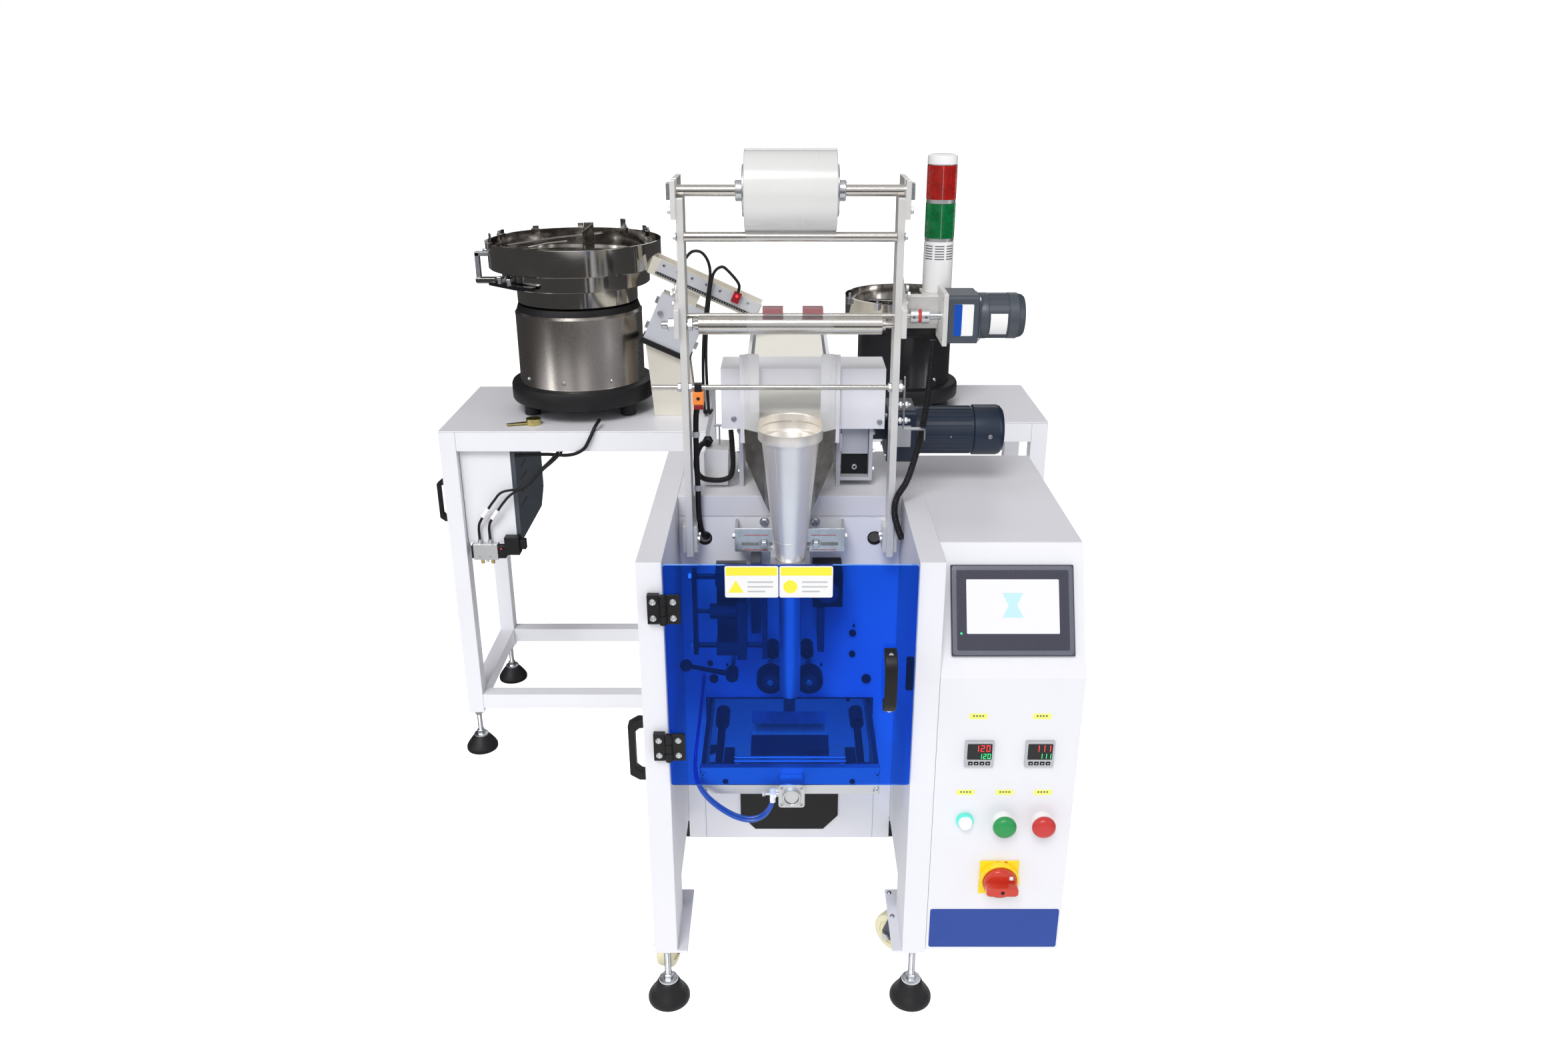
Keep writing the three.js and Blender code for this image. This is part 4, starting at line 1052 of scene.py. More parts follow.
def forming_set():
    centre = (0, 200)
    tube = Shape()
    outside = [(19, 539), (19, 796), (19.6, 799.5), (23.5, 801), (32, 868), (48, 1020), (49.5, 1022),
               (53.4, 1023), (54.2, 1024.4), (54.2, 1041)]
    inside = [(r - 1.4, z) for r, z in reversed(outside)]
    tube.lathe("z", outside + inside, centre, CONE_STEEL, 96, closed=True)
    tube.ring("z", (842, 843), centre, (27, 29.2), CONE_STEEL, 72)
    points, columns, rows = [], 33, 7
    for i in range(rows):
        for k in range(columns):
            share = k / (columns - 1)
            angle = math.radians(-10 + 200 * share)
            rise = 15 * min(1.0, 9 * share, 9 * (1 - share)) * i / (rows - 1)
            radius = 53 + 0.1 * rise
            points.append((*polar(centre, radius, angle), 1037 + rise))
    scoop = Shape()
    scoop.add(points, net(rows, columns), CONE_STEEL)
    thicken(scoop.piece("hopper_scoop"), 0.0012)
    tube.piece("hopper_and_tube", replaces=("hopper_tube",))
    dress("forming_collar", DARK_STEEL, 0.5)
    seam = Shape()
    for angle in (math.radians(-58), math.radians(-122)):
        ends = [(*polar(centre, 29.5, angle), 848), (*polar(centre, 47.6, angle), 1018)]
        seam.tube(ends, 0.4, CONE_STEEL, 6)
    seam.piece("hopper_seams")

    dress("tube_bracket", ZINC, 0.6)
    bolts = Shape()
    for side in (-1, 1):
        bolts.bolt("y", 249.3, -1, (side * 46, 812), 7, ZINC)
        bolts.bolt("y", 299.6, -1, (side * 46, 835), 7, ZINC)
        bolts.bolt("x", side * 97.5, side, (275, 818), 5.5, ZINC)
        bolts.slab("y", centred(side * 58, 56), centred(812, 6), 2.9, (249.4, 249.9), DARK_STEEL)
        bolts.slab("y", centred(side * 60, 44), (828, 829), 0.4, (249.5, 249.9), RED, 2)
        bolts.slab("y", centred(side * 60, 44), (800, 801), 0.4, (249.5, 249.9), RED, 2)
        bolts.tube([(side * 24, 262, 800), (side * 25, 262, 786), (side * 23, 264, 770)], 5, BLACK, 12)
    bolts.piece("tube_bracket_bolts")


# Sealing mechanism behind the door


def sealing():
    dress("seal_yoke", MECHANISM, 0.6)
    dress("seal_cylinder", MECHANISM, 0.8)
    frame_bars = dress("jaw_frame", MECHANISM, 1.0)
    frame_bars.data.materials.append(ALUMINIUM)
    for face in frame_bars.data.polygons:
        if (Vector(face.center) / MM - ORIGIN).y < JAW_FRONT_END:
            face.material_index = 1
    dress("rear_jaw", ZINC, 0.8)
    seal_drive()
    draw_wheels()
    release_lever()
    jaws()
    knife_cylinder()


def seal_drive():
    tie = Shape()
    for z in (772, 638):
        tie.nut("x", (-178, -171), (200, z), 8, ZINC)
    tie.piece("seal_yoke_nuts", "yoke")
    block = Shape()
    block.box((41, 94), (226, 299.5), (700, 765), BLACK)
    block.rod("y", (214, 228), (67, 733), 20, SLATE, 48)
    block.box((50, 62), (222, 299.5), (612, 699), SLATE)
    block.box((-70, -52), (240, 299.5), (640, 782), SLATE)
    block.piece("seal_drive_block", bevel=1.2)


def draw_wheels():
    for side, body in ((-1, "draw_left"), (1, "draw_right")):
        wheel = Shape()
        centre = (side * 36, 548)
        wheel.ring("y", (226, 252), centre, (15, 25), RUBBER, 64)
        wheel.rod("y", (225, 253), centre, 15, MECHANISM, 48)
        wheel.rod("y", (222, 330), centre, 6, ROD_STEEL, 28)
        for rib in around(centre, 24.7, 48):
            wheel.rod("y", (227, 251), rib, 0.45, RUBBER, 6)
        name = "left" if side < 0 else "right"
        wheel.piece(f"draw_wheel_{name}_tyre", body, replaces=(f"draw_wheel_{name}",))
    idlers = Shape()
    for side in (-1, 1):
        idlers.rod("y", (262, 299.6), (side * 32, 588), 12, BLACK, 40)
    idlers.piece("draw_gear_caps")


def release_lever():
    lever = Shape()
    lever.rod("y", (150, 176), (-102, 600), 11, BLACK, 40, 1.5)
    lever.rod("y", (175, 312), (-102, 600), 5, ZINC, 24)
    lever.tube([(-102, 162, 600), (-128, 162, 605), (-160, 162, 612), (-183, 162, 617)], 4.6, BLACK, 20,
               [1.25, 1.0, 0.85, 0.9])
    ball = [(0, -11)] + [(11 * math.sin(a), -11 * math.cos(a)) for a in
                         (math.pi * k / 16 for k in range(1, 16))] + [(0, 11)]
    lever.lathe("z", [(r, 617 + z) for r, z in ball], (-183, 162), BLACK_GLOSS, 32)
    lever.piece("release_lever_ball", "lever", replaces=("release_lever",))


def jaws():
    caps = Shape()
    for x in (-151, 151):
        for z in (461, 428):
            caps.socket_screw("y", 60, -1, (x, z), 4.2, ZINC)
    for x in (-112, 108):
        caps.rod("y", (58.6, 61), (x, 445), 5, BLACK, 28)
    for x in (-150, 150):
        caps.bolt("y", 60, -1, (x, 424), 5, ZINC)
    caps.piece("jaw_frame_screws", "jaw")
    inner = Shape()
    for side in (-1, 1):
        inner.tube([(side * 126, 84, 446), (side * 126, 290, 452)], 7, BLACK, 24)
        inner.tube([(side * 126, 240, 451), (side * 126, 286, 452)], 13, BLACK, 28)
        inner.box(sorted((side * 98, side * 116)), (84, 130), (428, 470), BLACK)
        inner.tube([(side * 104, 84, 462), (side * 140, 84, 462)], 6, MECHANISM, 20)
    for y in (92, 104):
        inner.tube([(-100, y, 465), (100, y, 465)], 3.2, ALUMINIUM, 16)
    inner.box((-145, 145), (74, 84), (424, 452), MECHANISM)
    inner.piece("jaw_linkage", "jaw", bevel=0.6)
    # Thin dark sheets along the top and sides of the plate's opening: painted shade in the opening.
    opening_shade = Shape()
    opening_shade.box((-160, 160), (297, 330), (471.5, 473), MECHANISM)
    for side in (-1, 1):
        opening_shade.box(sorted((side * 158.5, side * 160)), (297, 330), (300, 473), MECHANISM)
    opening_shade.piece("jaw_opening_painted_shade")
    springs = Shape()
    for side in (-1, 1):
        coil = [(side * 45 + 9.4 * math.cos(0.7 * k), 74 + 0.42 * k, 442 + 9.4 * math.sin(0.7 * k))
                for k in range(132)]
        springs.tube(coil, 1.1, ZINC, 8)
    springs.piece("jaw_springs", "jaw")


def knife_cylinder():
    knife = Shape()
    knife.slab("y", (-20, 25), (415, 460), 5, (24, 59.7), ALUMINIUM)
    knife.ring("y", (18, 25), KNIFE_AXIS, (12.5, 16), ALUMINIUM, 48)
    knife.rod("y", (21, 25), KNIFE_AXIS, 12, ALUMINIUM, 48)
    for corner in four(KNIFE_AXIS, 17):
        knife.socket_screw("y", 24, -1, corner, 3, ZINC, 1.4)
    knife.piece("knife_cylinder_body", "jaw", bevel=0.8, replaces=("knife_cylinder",))
    elbows = Shape()
    for shift in (0, 9):
        elbows.rod("x", (-26, -19), (39 + shift, 432), 4.2, ZINC, 24)
        elbows.rod("z", (420, 438), (-30, 34 + shift), 5, WHITE_PLASTIC, 28)
        elbows.rod("x", (-33, -24), (34 + shift, 433), 4.6, WHITE_PLASTIC, 28)
    elbows.rod("x", (-46, -30), (38, 433), 2.2, ZINC, 20)
    elbows.nut("x", (-48, -43), (38, 433), 4, ZINC)
    elbows.piece("air_elbows", "jaw")


# Feet and casters


def levelling_foot(foot, x, y, top, cone=45.0):
    """A disc and its rubber cone, with the nuts and the threaded rod that goes up to top."""
    profile = [(0, 0), (35, 0), (37.4, 1.2), (38, 3), (38, 8.6), (37.2, 11), (32.6, 18), (25.5, 29),
               (20.5, cone - 5), (18, cone - 1.5), (16, cone - 0.6), (0, cone - 0.6)]
    foot.lathe("z", profile, (x, y), RUBBER, 56)
    for r, z in ((33.2, 17.2), (29.4, 22.8)):
        foot.ring("z", (z - 0.4, z + 0.5), (x, y), (r - 2, r + 0.35), RUBBER, 56)
    foot.lathe("z", [(0, cone - 0.5), (17.5, cone - 0.5), (16.8, cone + 2.4), (12, cone + 4), (9, cone + 4),
                     (0, cone + 4)], (x, y), ZINC, 48)
    foot.nut("z", (cone + 4, cone + 13), (x, y), 10, ZINC)
    z = cone + 12
    threads = [(0, z)]
    while z < top:
        threads += [(5.3, z), (6, min(z + 0.9, top))]
        z += 1.8
    foot.lathe("z", [*threads, (5.3, top), (0, top)], (x, y), ZINC, 24)
    foot.nut("z", (top - 13, top - 3.4), (x, y), 10.5, ZINC)
    foot.disc("z", (top - 3.4, top - 1), (x, y), 12, ZINC, 36)


def feet_and_casters():
    for name, x, y in (("foot_front_left", -222, 22), ("foot_front_right", 222, 22),
                       ("foot_rear_left", -222, 538), ("foot_rear_right", 222, 538)):
        foot = Shape()
        levelling_foot(foot, x, y, 121.6)
        foot.piece(name + "_pad", replaces=(name,))

    for side, x, angle in (("left", -220, math.pi * 0.92), ("right", 220, math.pi * 0.26)):
        dress(f"caster_{side}_fork", SLATE, 1.0)
        pivot = Matrix.Translation((x, 124, 0)) @ Matrix.Rotation(angle, 4, "Z")
        wheel = Shape()
        tyre = [(24, -15), (33, -15), (36.4, -13), (37.5, -9), (37.5, 9), (36.4, 13), (33, 15), (24, 15)]
        verts = wheel.lathe("x", tyre, CASTER_AXLE, CREAM, 72, closed=True)
        verts += wheel.lathe("x", [(4.6, -16), (11, -16), (12, -13), (24.2, -12), (24.2, 12), (12, 13),
                                   (11, 16), (4.6, 16)], CASTER_AXLE, CREAM, 56, closed=True)
        for rib in around(CASTER_AXLE, 18, 5):
            verts += wheel.rod("x", (-13.4, 13.4), rib, 2.4, CREAM, 16)
        wheel.move(verts, pivot)
        wheel.piece(f"caster_{side}_tyre", f"wheel_{side}",
                    replaces=(f"caster_{side}_wheel",))
        nuts = Shape()
        verts = []
        for span in ((-29.5, -22.2), (22.2, 29.5)):
            verts += nuts.nut("x", span, CASTER_AXLE, 8, ZINC)
        cap = [(0, 117.6), (27, 117.6), (27, 114), (25, 108), (24.2, 106), (0, 106)]
        verts += nuts.lathe("z", cap, (0, 0), ZINC, 48)
        nuts.move(verts, pivot)
        nuts.piece(f"caster_{side}_axle_nuts", f"fork_{side}")


# Benches


def bench(name, node, x, y, feet_name):
    (x0, x1), (y0, y1) = x, y
    top, apron, leg, bottom = 837, 48, 38, 111
    shape = Shape()
    shape.box(x, y, (top - 3, top), PAINT)
    for a, b in ((x0, x0 + leg), (x1 - leg, x1)):
        for c, d in ((y0, y0 + leg), (y1 - leg, y1)):
            shape.box((a, b), (c, d), (bottom, top - 3.2), PAINT)
        shape.box((a + 0.6, b - 0.6), (y0 + leg, y1 - leg), (top - apron, top - 3.2), PAINT)
        shape.box((a + 0.6, b - 0.6), (y0 + leg, y1 - leg), (123, 161), PAINT)
    for c, d in ((y0, y0 + leg), (y1 - leg, y1)):
        shape.box((x0 + leg, x1 - leg), (c + 0.6, c + 3.6) if c == y0 else (d - 3.6, d - 0.6),
                  (top - apron, top - 3.2), PAINT)
        shape.box((x0 + leg, x1 - leg), (c + 0.6, d - 0.6), (123, 161), PAINT)
    shape.piece(name, bevel=1.5, replaces=(node,))
    feet = Shape()
    for a in (x0 + leg / 2, x1 - leg / 2):
        for c in (y0 + leg / 2, y1 - leg / 2):
            levelling_foot(feet, a, c, bottom + 1, 40.0)
    feet.piece(feet_name)


def benches():
    bench("left_bench_frame", "left_bench", (-790, -186), (850, 1245), "left_bench_feet")
    bench("right_bench_frame", "right_bench", (120, 600), (922, 1261), "right_bench_feet")

    grip = Shape()
    outline = [(-790.2, 612), (-800, 613), (-811, 622), (-811, 706), (-800, 715), (-790.2, 716),
               (-790.2, 704), (-799, 702), (-804, 696), (-804, 632), (-799, 626), (-790.2, 624)]
    grip.prism("y", outline, (866, 884), BLACK)
    grip.piece("bench_handle", bevel=1.2)

    case = Shape()
    side = [(870, 560), (1110, 560), (1150, 600), (1150, 833), (870, 833)]
    case.prism("x", side, (-750, -626), SLATE)
    case.piece("feeder_controller", bevel=1.2)
    front = Shape()
    front.box((-751, -636), (867, 870.4), (559, 786), PAINT)
    front.piece("feeder_controller_face", bevel=0.8)
    vents = Shape()
    for row in range(5):
        vents.box((-626.4, -625.4), (900 + 6 * row, 960 + 6 * row), (640 + 30 * row, 641.6 + 30 * row), BLACK)
    vents.piece("feeder_controller_seams")

    valve = Shape()
    valve.box((-737, -680), (848, 872), (523, 562), ALUMINIUM)
    valve.box((-680.4, -662), (850, 870), (526, 556), BLACK)
    valve.box((-742, -736.6), (850, 870), (526, 558), BLACK)
    valve.box((-662.4, -628), (846, 874), (536, 580), BLACK)
    valve.box((-629, -614), (852, 868), (548, 572), BLACK)
    valve.piece("solenoid_valve", bevel=1.2)
    ports = Shape()
    for x in (-722, -698):
        ports.rod("z", (561.6, 571), (x, 860), 5, ZINC, 28)
        ports.socket_screw("y", 848, -1, (x, 532), 2.6, ZINC, 1.2)
        ports.rod("z", (510, 523.2), (x + 2, 860), 4.6, BRASS_ZINC, 6)
    ports.rod("z", (513, 523.2), (-709, 860), 4.2, WHITE_PLASTIC, 24)
    ports.rod("y", (845.4, 848), (-671, 552), 2.4, RED, 24)
    ports.piece("valve_ports")


def valve_tubes():
    ends = ((-722, (-700, 852, 640)), (-698, (-678, 850, 636)))
    for i, (x, joint) in enumerate(ends):
        after = (joint[0] + 22, 850, joint[2] + 30)
        route = [(x, 860, 571), (x, 860, 584), (x + 1, 858, 600), (x + 6, 855, 616), joint, after,
                 (joint[0] + 44, 850, joint[2] + 52),
                 (-606 + 8 * i, 850, 704 + 4 * i), (-570 + 8 * i, 853, 740 + 3 * i), (-540 + 8 * i, 858, 768),
                 (-522 + 8 * i, 866, 788), (-512 + 8 * i, 880, 806), (-506 + 8 * i, 900, 818),
                 (-500 + 8 * i, 930, 826)]
        cable(f"valve_tube_{i + 1}", route, 3, BLACK)
        sleeve = Shape()
        a = Vector(joint)
        ahead = (Vector(after) - a).normalized()
        sleeve.tube([a - ahead * 12, a - ahead * 3, a + ahead * 3, a + ahead * 14], 6, WHITE_PLASTIC, 20,
                    [1, 0.8, 1, 0.9])
        sleeve.piece(f"valve_tube_joint_{i + 1}")


# Bowls


def bowl_base(name, node, centre, drum, foot_circle, shell):
    base = Shape()
    wide, low, split, tall = drum
    base.lathe("z", [(0, low), (wide - 6, low), (wide - 1.5, low + 2), (wide, low + 6), (wide, split - 8),
                     (wide - 2.6, split - 2), (wide - 7, split), (0, split)], centre, RUBBER, 96)
    inner = wide - 21
    base.lathe("z", [(inner, split - 1), (inner + 0.8, split + 1), (inner, split + 3), (inner, tall - 24),
                     (0, tall - 24)], centre, shell, 120)
    base.lathe("z", [(inner - 4, tall - 25), (inner - 4, tall - 12), (inner - 8, tall), (0, tall)], centre,
               RUBBER, 96)
    base.lathe("z", [(inner - 3, tall - 25), (inner + 0.6, tall - 24), (inner + 0.6, tall - 20),
                     (inner - 5, tall - 13), (inner - 5, tall - 20)], centre, shell, 120, closed=True)
    for k in range(3):
        angle = math.pi / 2 + 2 * math.pi * k / 3
        base.lathe("z", [(0, 837.3), (17, 837.3), (19, 840), (18, low - 3), (20, low + 1), (0, low + 1)],
                   polar(centre, foot_circle, angle), RUBBER, 32)
    base.piece(name, replaces=(node,))
    screws = Shape()
    for degrees in (222, 262, 306, 42, 90, 140):
        angle = math.radians(degrees)
        out = Vector((math.cos(angle), math.sin(angle), 0))
        verts = screws.lathe("z", [(0, 0), (4.6, 0), (4.6, 1.6), (3.2, 3.4), (0, 4)], (0, 0), ZINC, 24)
        turn = out.to_track_quat("Z", "Y").to_matrix().to_4x4()
        screws.move(verts, Matrix.Translation((*polar(centre, inner, angle), split + 18)) @ turn)
    screws.piece(name + "_screws")


def left_bowl():
    x, y = LEFT_BOWL
    bowl = Shape()
    profile = [
        (0, 1097), (136, 1097), (138, 1098.5), (138.5, 1136), (140, 1137.4), (166, 1137.4), (168, 1139),
        (168.5, 1174), (170, 1175.4), (194, 1175.4), (196, 1177), (196.4, 1232), (196.9, 1234.4),
        (195.4, 1235), (193.6, 1234), (193.2, 1180), (190, 1178), (166, 1178), (165, 1176), (165, 1141),
        (163, 1140), (137, 1140), (135, 1138), (135, 1120), (128, 1116), (60, 1118), (0, 1122),
    ]
    bowl.lathe("z", profile, (x, y), POLISHED, 128)
    for turn_start, radius, low in ((0.3, 178, 1180), (2.6, 150, 1150)):
        points, faces, steps = [], [], 60
        for i in range(steps + 1):
            angle = turn_start + 4.4 * i / steps
            z = low + 26 * i / steps
            for r, dz in ((radius - 16, 2.5), (radius + 14, 0), (radius + 14, -2.4), (radius - 16, 0.1)):
                points.append((*polar((x, y), r, angle), z + dz))
        for i in range(steps):
            for k in range(4):
                m = (k + 1) % 4
                a = i * 4
                faces.append((a + k, a + m, a + 4 + m, a + 4 + k))
        faces += [(0, 1, 2, 3), (4 * steps, 4 * steps + 1, 4 * steps + 2, 4 * steps + 3)]
        bowl.add(points, faces, POLISHED)
    bowl.piece("left_bowl_spun", "bowl_left", replaces=("left_bowl",))

    rails = Shape()
    for degrees, height in ((205, 22), (160, 12), (128, 10), (95, 12), (62, 24), (40, 14)):
        angle = math.radians(degrees)
        turn = Matrix.Translation((x, y, 0)) @ Matrix.Rotation(angle, 4, "Z")
        verts = rails.box((188, 202), (-8, 8), (1222, 1237), POLISHED)
        verts += rails.box((190, 193), (-7, 7), (1236, 1234 + height), POLISHED)
        rails.move(verts, turn)
        rails.rod("z", (1236, 1243), polar((x, y), 200, angle), 4, ZINC, 20)
    for low, high, z in (((-150, -20), (40, 150), 1222), ((-120, 60), (-40, 120), 1206)):
        a, b = Vector((x + low[0], y + low[1], z)), Vector((x + high[0], y + high[1], z + 6))
        rails.tube([a, a.lerp(b, 0.5) + Vector((0, 0, 2)), b], 2.2, POLISHED, 12)
    rails.box((x + 20, x + 23), (y - 10, y + 70), (1196, 1252), POLISHED)
    rails.box((x + 12, x + 34), (y + 66, y + 72), (1190, 1262), POLISHED)
    rails.piece("left_bowl_tooling", "bowl_left", bevel=0.5)

    strap = Shape()
    for box in (((-716, -706), (1030, 1044), (1140, 1206)), ((-716, -672), (1030, 1044), (1198, 1208)),
                ((-716, -640), (1030, 1044), (1136, 1146))):
        strap.box(*box, ZINC)
    strap.box((-676, -640), (1026, 1048), (1140, 1146), ZINC)
    strap.box((-700, -656), (960, 984), (1150, 1160), POLISHED)
    strap.piece("left_bowl_strap", "bowl_left", bevel=0.8)
    clamp = Shape()
    for u, v, z in ((-640, 935, 1168), (-615, 915, 1166), (-690, 1037, 1214)):
        clamp.rod("z", (z - 16, z), (u, v), 5, ZINC, 24)
        clamp.nut("z", (z - 6, z), (u, v), 8, ZINC)
    clamp.prism("z", [(-672, 962), (-600, 896), (-560, 880), (-552, 896), (-598, 916), (-656, 974)],
                (1144, 1152), BLACK_GLOSS)
    clamp.piece("left_bowl_outlet_clamp", "bowl_left", bevel=0.5)

    leveller = Shape()
    leveller.rod("z", (837.3, 852), (-584, 905), 17, BRASS_ZINC, 40)
    leveller.prism("z", [(-592, 897), (-640, 884), (-644, 892), (-596, 913)], (840, 843), BRASS_ZINC)
    leveller.piece("bowl_leveller", bevel=0.5)


def right_bowl():
    x, y = RIGHT_BOWL
    bowl = Shape()
    profile = [(0, 1044), (112, 1044), (114, 1046), (114, 1052), (140, 1053), (142, 1055), (142.3, 1098),
               (142.9, 1100.4), (141, 1101), (139.6, 1100), (139, 1060), (136, 1057), (110, 1060), (60, 1064),
               (0, 1068)]
    bowl.lathe("z", profile, (x, y), POLISHED, 112)
    bowl.piece("right_bowl_spun", "bowl_right", replaces=("right_bowl",))
    fittings = Shape()
    for degrees in (200, 238, 284, 330):
        angle = math.radians(degrees)
        verts = fittings.box((132, 150), (-6, 6), (1086, 1100), ZINC)
        verts += fittings.rod("z", (1100, 1112), (143, 0), 3.6, ZINC, 20)
        fittings.move(verts, Matrix.Translation((x, y, 0)) @ Matrix.Rotation(angle, 4, "Z"))
    fittings.prism("z", [(x - 90, y - 60), (x + 20, y - 84), (x + 24, y - 70), (x - 84, y - 46)],
                   (1076, 1098), POLISHED)
    fittings.piece("right_bowl_tooling", "bowl_right", bevel=0.5)


def bowls():
    bowl_base("left_bowl_drum", "left_bowl_base", LEFT_BOWL, (167, 869, 912, 1093), 130, DRUM_STEEL)
    bowl_base("right_bowl_drum", "right_bowl_base", RIGHT_BOWL, (131, 862, 898, 1040), 100, DARK_DRUM)
    left_bowl()
    right_bowl()


# Chute


TILT = math.radians(24.3)


def chute_point(s, h, y):
    return (-318 + s * math.cos(TILT) + h * math.sin(TILT), y, 1172 - s * math.sin(TILT) + h * math.cos(TILT))


def chute_spot(s, h):
    x, _, z = chute_point(s, h, 0)
    return (x, z)


def on_chute(shape, s, y, h, material):
    """A box in the chute's own directions: along its floor, across it and up from it."""
    corners = [chute_point(a, c, b) for c in h for b in y for a in s]
    faces = [(0, 1, 3, 2), (4, 5, 7, 6), (0, 1, 5, 4), (2, 3, 7, 6), (0, 2, 6, 4), (1, 3, 7, 5)]
    return shape.add(corners, faces, material)


def chute():
    dress("feed_chute", CHUTE_STEEL, 0.6)
    rail = Shape()
    on_chute(rail, (20, 262), (966.6, 969.6), (12, 38), LIGHT_GREY)
    rail.piece("chute_rail", bevel=0.6)
    strip = Shape()
    on_chute(strip, (18, 264), (965.4, 966.6), (6, 11), BLACK)
    for k in range(40):
        on_chute(strip, (20 + 6 * k, 23 + 6 * k), (965.0, 965.6), (7, 10), ZINC)
    strip.piece("chute_brush_strip")
    screws = Shape()
    for k in range(7):
        screws.socket_screw("y", 966.6, -1, chute_spot(30 + 34 * k, 30), 3, ZINC, 2)
    screws.piece("chute_screws")
    vibrator = Shape()
    on_chute(vibrator, (48, 162), (970, 974.4), (-142, -28), GREY_PAINT)
    on_chute(vibrator, (44, 166), (964, 1036), (-152, -140), BLACK)
    vibrator.piece("chute_vibrator_face", bevel=1.2)
    clips = Shape()
    for s, h in ((46, -50), (46, -112), (164, -50), (164, -112)):
        on_chute(clips, (s - 5, s + 5), (976, 990), (h - 7, h + 7), ZINC)
    clips.piece("chute_spring_clamps", bevel=0.6)
    knob = Shape()
    knob.rod("y", (962, 973), chute_spot(62, -72), 6, ZINC, 28)
    knob.socket_screw("y", 973.6, -1, chute_spot(62, -104), 3.4, ZINC)
    knob.piece("chute_vibrator_gland")

    sensor = Shape()
    on_chute(sensor, (196, 214), (956, 966), (20, 44), CLEAR_RED)
    sensor.lathe("y", [(0, 956), (3.4, 956), (2.6, 954), (0, 953.4)], chute_spot(205, 36), DIGIT_RED, 24)
    sensor.piece("chute_sensor", bevel=0.8)


def chute_cables():
    """Two cables from the chute's sensors, over its side and down behind the left post."""
    ways = (((0, 0), (8, 22), (24, 38), (44, 36), (58, 16), (62, -14)),
            ((0, 0), (2, 22), (-22, 52), (-36, 60), (-52, 48), (-60, 20)))
    for i, (start, way) in enumerate(zip((70, 205), ways)):
        x, z = chute_spot(start, 42)
        foot = -196 + 10 * i
        route = [(x + u, y, z + v) for y, (u, v) in zip((960, 958, 956, 955, 955, 955), way)]
        last = route[-1]
        for k in range(1, 6):
            share = k / 6
            sway = 8 * math.sin(math.pi * share)
            route.append((last[0] + (foot - last[0]) * share - sway, 955, last[2] + (870 - last[2]) * share))
        route += [(foot, 958, 858), (foot + 1, 968, 846), (foot + 2, 984, 842), (foot + 4, 1010, 841)]
        cable(f"chute_cable_{i + 1}", route, 3.4, BLACK)


# Conveyor


def loop(radius, steps=24):
    points = []
    for centre, start in ((BELT_TAIL, -math.pi / 2), (BELT_ROLLER, math.pi / 2)):
        for k in range(steps + 1):
            points.append(polar(centre, radius, start + math.pi * k / steps))
    return points


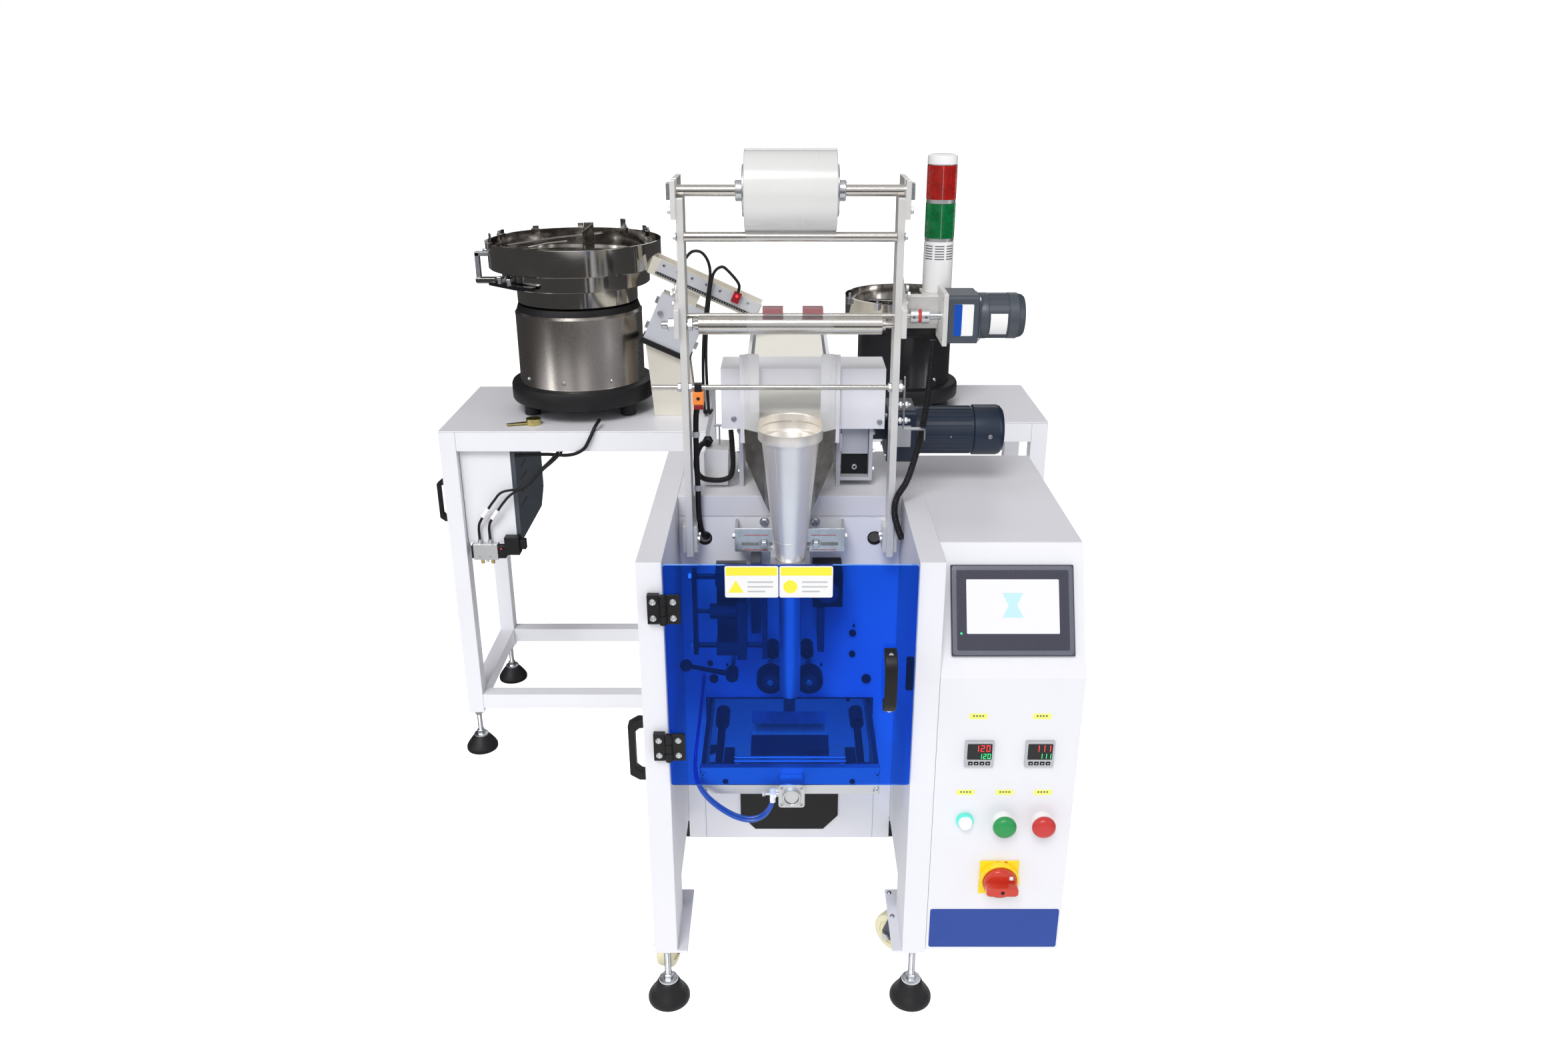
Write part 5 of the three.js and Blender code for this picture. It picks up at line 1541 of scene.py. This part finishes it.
def conveyor():
    # The conveyor frame takes the brighter copy of the white paint: painted light on the set-back head.
    made = dress("conveyor_frame", PAINT_WITH_PAINTED_LIGHT, 0.7)
    for material in (GREY_PAINT, RUBBER):
        made.data.materials.append(material)
    for face in made.data.polygons:
        x, y, z = Vector(face.center) / MM - ORIGIN
        if z < FEET_TOP:
            face.material_index = 2
        elif z < HEAD_TOP and x > -94 and y > HEAD_FRONT or z < LEGS_BOTTOM:
            face.material_index = 1
    belt = Shape()
    belt.band("x", loop(40), loop(38), (-75, 75), BELT_CREAM)
    belt.piece("belt_loop", replaces=("conveyor_belt",))
    roller = Shape()
    roller.rod("x", (-78, 78), BELT_ROLLER, 37, ZINC, 64)
    roller.rod("x", (-96, 174), BELT_ROLLER, 8, ROD_STEEL, 32)
    roller.box((-97, -95.6), (392, 408), (976, 980), ZINC)
    roller.piece("drive_roller_turned", "belt_drive", replaces=("drive_roller",))

    guard = Shape()
    for low, high, bottom in ((-80, -54, 962), (54, 80, 975)):
        guard.slab("y", (low, high), (bottom, 1137), 4, (322, 325.6), WHITE_PLASTIC)
    guard.box((-56, 56), (322, 325.6), (976, 984), WHITE_PLASTIC)
    guard.piece("belt_guard_face", bevel=0.8)
    screws = Shape()
    for x, z in ((-100, 1016), (160, 1010)):
        screws.bolt("y", 340, -1, (x, z), 4, ZINC)
    for z in (915, 948):
        screws.bolt("x", 150, 1, (362, z), 4.4, ZINC)
    screws.bolt("x", 150, 1, (362, 984), 4.4, ZINC)
    for side in (-1, 1):
        for z in (900, 940):
            screws.bolt("x", side * 92, side, (392, z), 4.4, ZINC)
    screws.piece("conveyor_screws")
    inner = Shape()
    inner.box((94, 142), (360, 364), (944, 995), GREY_PAINT)
    inner.box((94, 142), (366, 370), (904, 944), BLACK)
    inner.socket_screw("y", 366, -1, (118, 918), 5, ZINC)
    inner.piece("motor_bracket_panel", bevel=0.6)

    motor = Shape()
    motor.slab("x", (351, 449), (929, 1027), 10, (175, 227), NAVY)
    motor.piece("conveyor_gearbox", bevel=1.6)
    barrel = Shape()
    barrel.lathe("x", [(8.8, 150.4), (18, 150.4), (18, 176), (8.8, 176)], BELT_ROLLER, NAVY, 40, closed=True)
    profile = [(0, 226), (41, 226), (43, 228), (43, 333), (46, 335), (46, 378), (44, 384), (38, 389),
               (0, 389)]
    barrel.lathe("x", profile, BELT_ROLLER, NAVY, 96)
    for rib in around(BELT_ROLLER, 43, 28):
        barrel.rod("x", (234, 330), rib, 1.2, NAVY, 8)
    barrel.box((290, 292), (353.8, 356), (976, 980), ZINC)
    barrel.piece("conveyor_motor_barrel", replaces=("conveyor_motor",))
    bolts = Shape()
    for corner in four(BELT_ROLLER, 38):
        bolts.socket_screw("x", 175, -1, corner, 4, ZINC)
    bolts.rod("y", (351.8, 356), (362, 978), 4, ZINC, 20)
    bolts.slab("y", (184, 218), (960, 1000), 2, (350.4, 351.2), LIGHT_GREY)
    bolts.piece("conveyor_motor_bolts")


def deck_parts():
    """The small white drive cover and its conduit on the deck, left of the hopper."""
    cover = Shape()
    outline = [(-156, 885), (-113, 885), (-110, 952), (-150, 955), (-156, 945)]
    cover.prism("y", outline, (352, 420), WHITE_PLASTIC)
    cover.piece("deck_cover", bevel=2.0)
    route = [(-106, 350, 992), (-104, 348, 965), (-103, 345, 940), (-104, 342, 918), (-110, 339, 906),
             (-124, 337, 901.5), (-142, 337, 901.5), (-158, 338, 905), (-167, 341, 914), (-170, 344, 930),
             (-167, 349, 950), (-160, 358, 962), (-150, 372, 962)]
    gland = Shape()
    gland.rod("y", (366, 386), (-150, 962), 7.5, BLACK, 32)
    gland.nut("y", (378, 384), (-150, 962), 10, BLACK)
    cable("deck_conduit", route, 5.2, BLACK, ribs=4.0,
          with_pieces=[gland.piece("deck_conduit_gland")])
    strip = Shape()
    strip.box((-128, -125), (344, 352), (966, 1000), ZINC)
    strip.box((-136, -118), (344, 352), (1000, 1003), ZINC)
    strip.piece("deck_sensor_strip", bevel=0.4)


def floor():
    """A pale floor: plain light to the camera, and a pool of light round the machine in reflections."""
    mesh = bpy.data.meshes.new("floor")
    size = 40.0
    corners = [(-size, -size, 0), (size, -size, 0), (size, size, 0), (-size, size, 0)]
    mesh.from_pydata(corners, [], [(0, 1, 2, 3)])
    made = bpy.data.objects.new("floor", mesh)
    made.location.z = -0.0005
    bpy.context.scene.collection.objects.link(made)
    pale = finish("pale_floor", (0.80, 0.80, 0.80), 0.7, mottle=0.005, cloud=0.5, grain=200, depth=0.02,
                  Emission_Color=(1, 1, 1, 1))
    tree = pale.node_tree
    path = add_node(tree, "LightPath").outputs
    glow = add_node(tree, "MapRange", {"To Min": 0.35, "To Max": 0.9, "Value": path["Is Camera Ray"]})
    feed(tree, tree.nodes["Principled BSDF"], {"Emission Strength": glow.outputs["Result"]})
    spot = add_node(tree, "TexCoord").outputs["Object"]
    centred_on = add_node(tree, "Mapping", {"Location": (-0.04, 0.62, 0), "Scale": (0.42, 0.42, 0.42),
                                            "Vector": spot})
    pool = add_node(tree, "TexGradient", {"Vector": centred_on.outputs["Vector"]}, gradient_type="SPHERICAL")
    light = ramp(tree, pool.outputs["Fac"], [(0.1, (0.07, 0.07, 0.07, 1)), (0.62, (1.0, 1.0, 1.0, 1))])
    mix_surface(tree, path["Is Glossy Ray"], add_node(tree, "Emission", {"Color": light}).outputs[0])
    mesh.materials.append(pale)


make_camera()
bpy.context.scene.view_settings.view_transform = "Standard"
motor_conduit()
sensor_sleeve()
bowl_cable()
air_hoses()
valve_tubes()
chute_cables()
make_lights()
make_world()
floor()
casing()
side_handle()
markers()
operator_panel()
temperature_controllers()
panel_buttons()
main_switch()
guard_door()
film_frame()
photo_eye()
z_bracket()
film_web()
feed_motor()
tower_light()
forming_set()
sealing()
feet_and_casters()
benches()
bowls()
chute()
conveyor()
deck_parts()
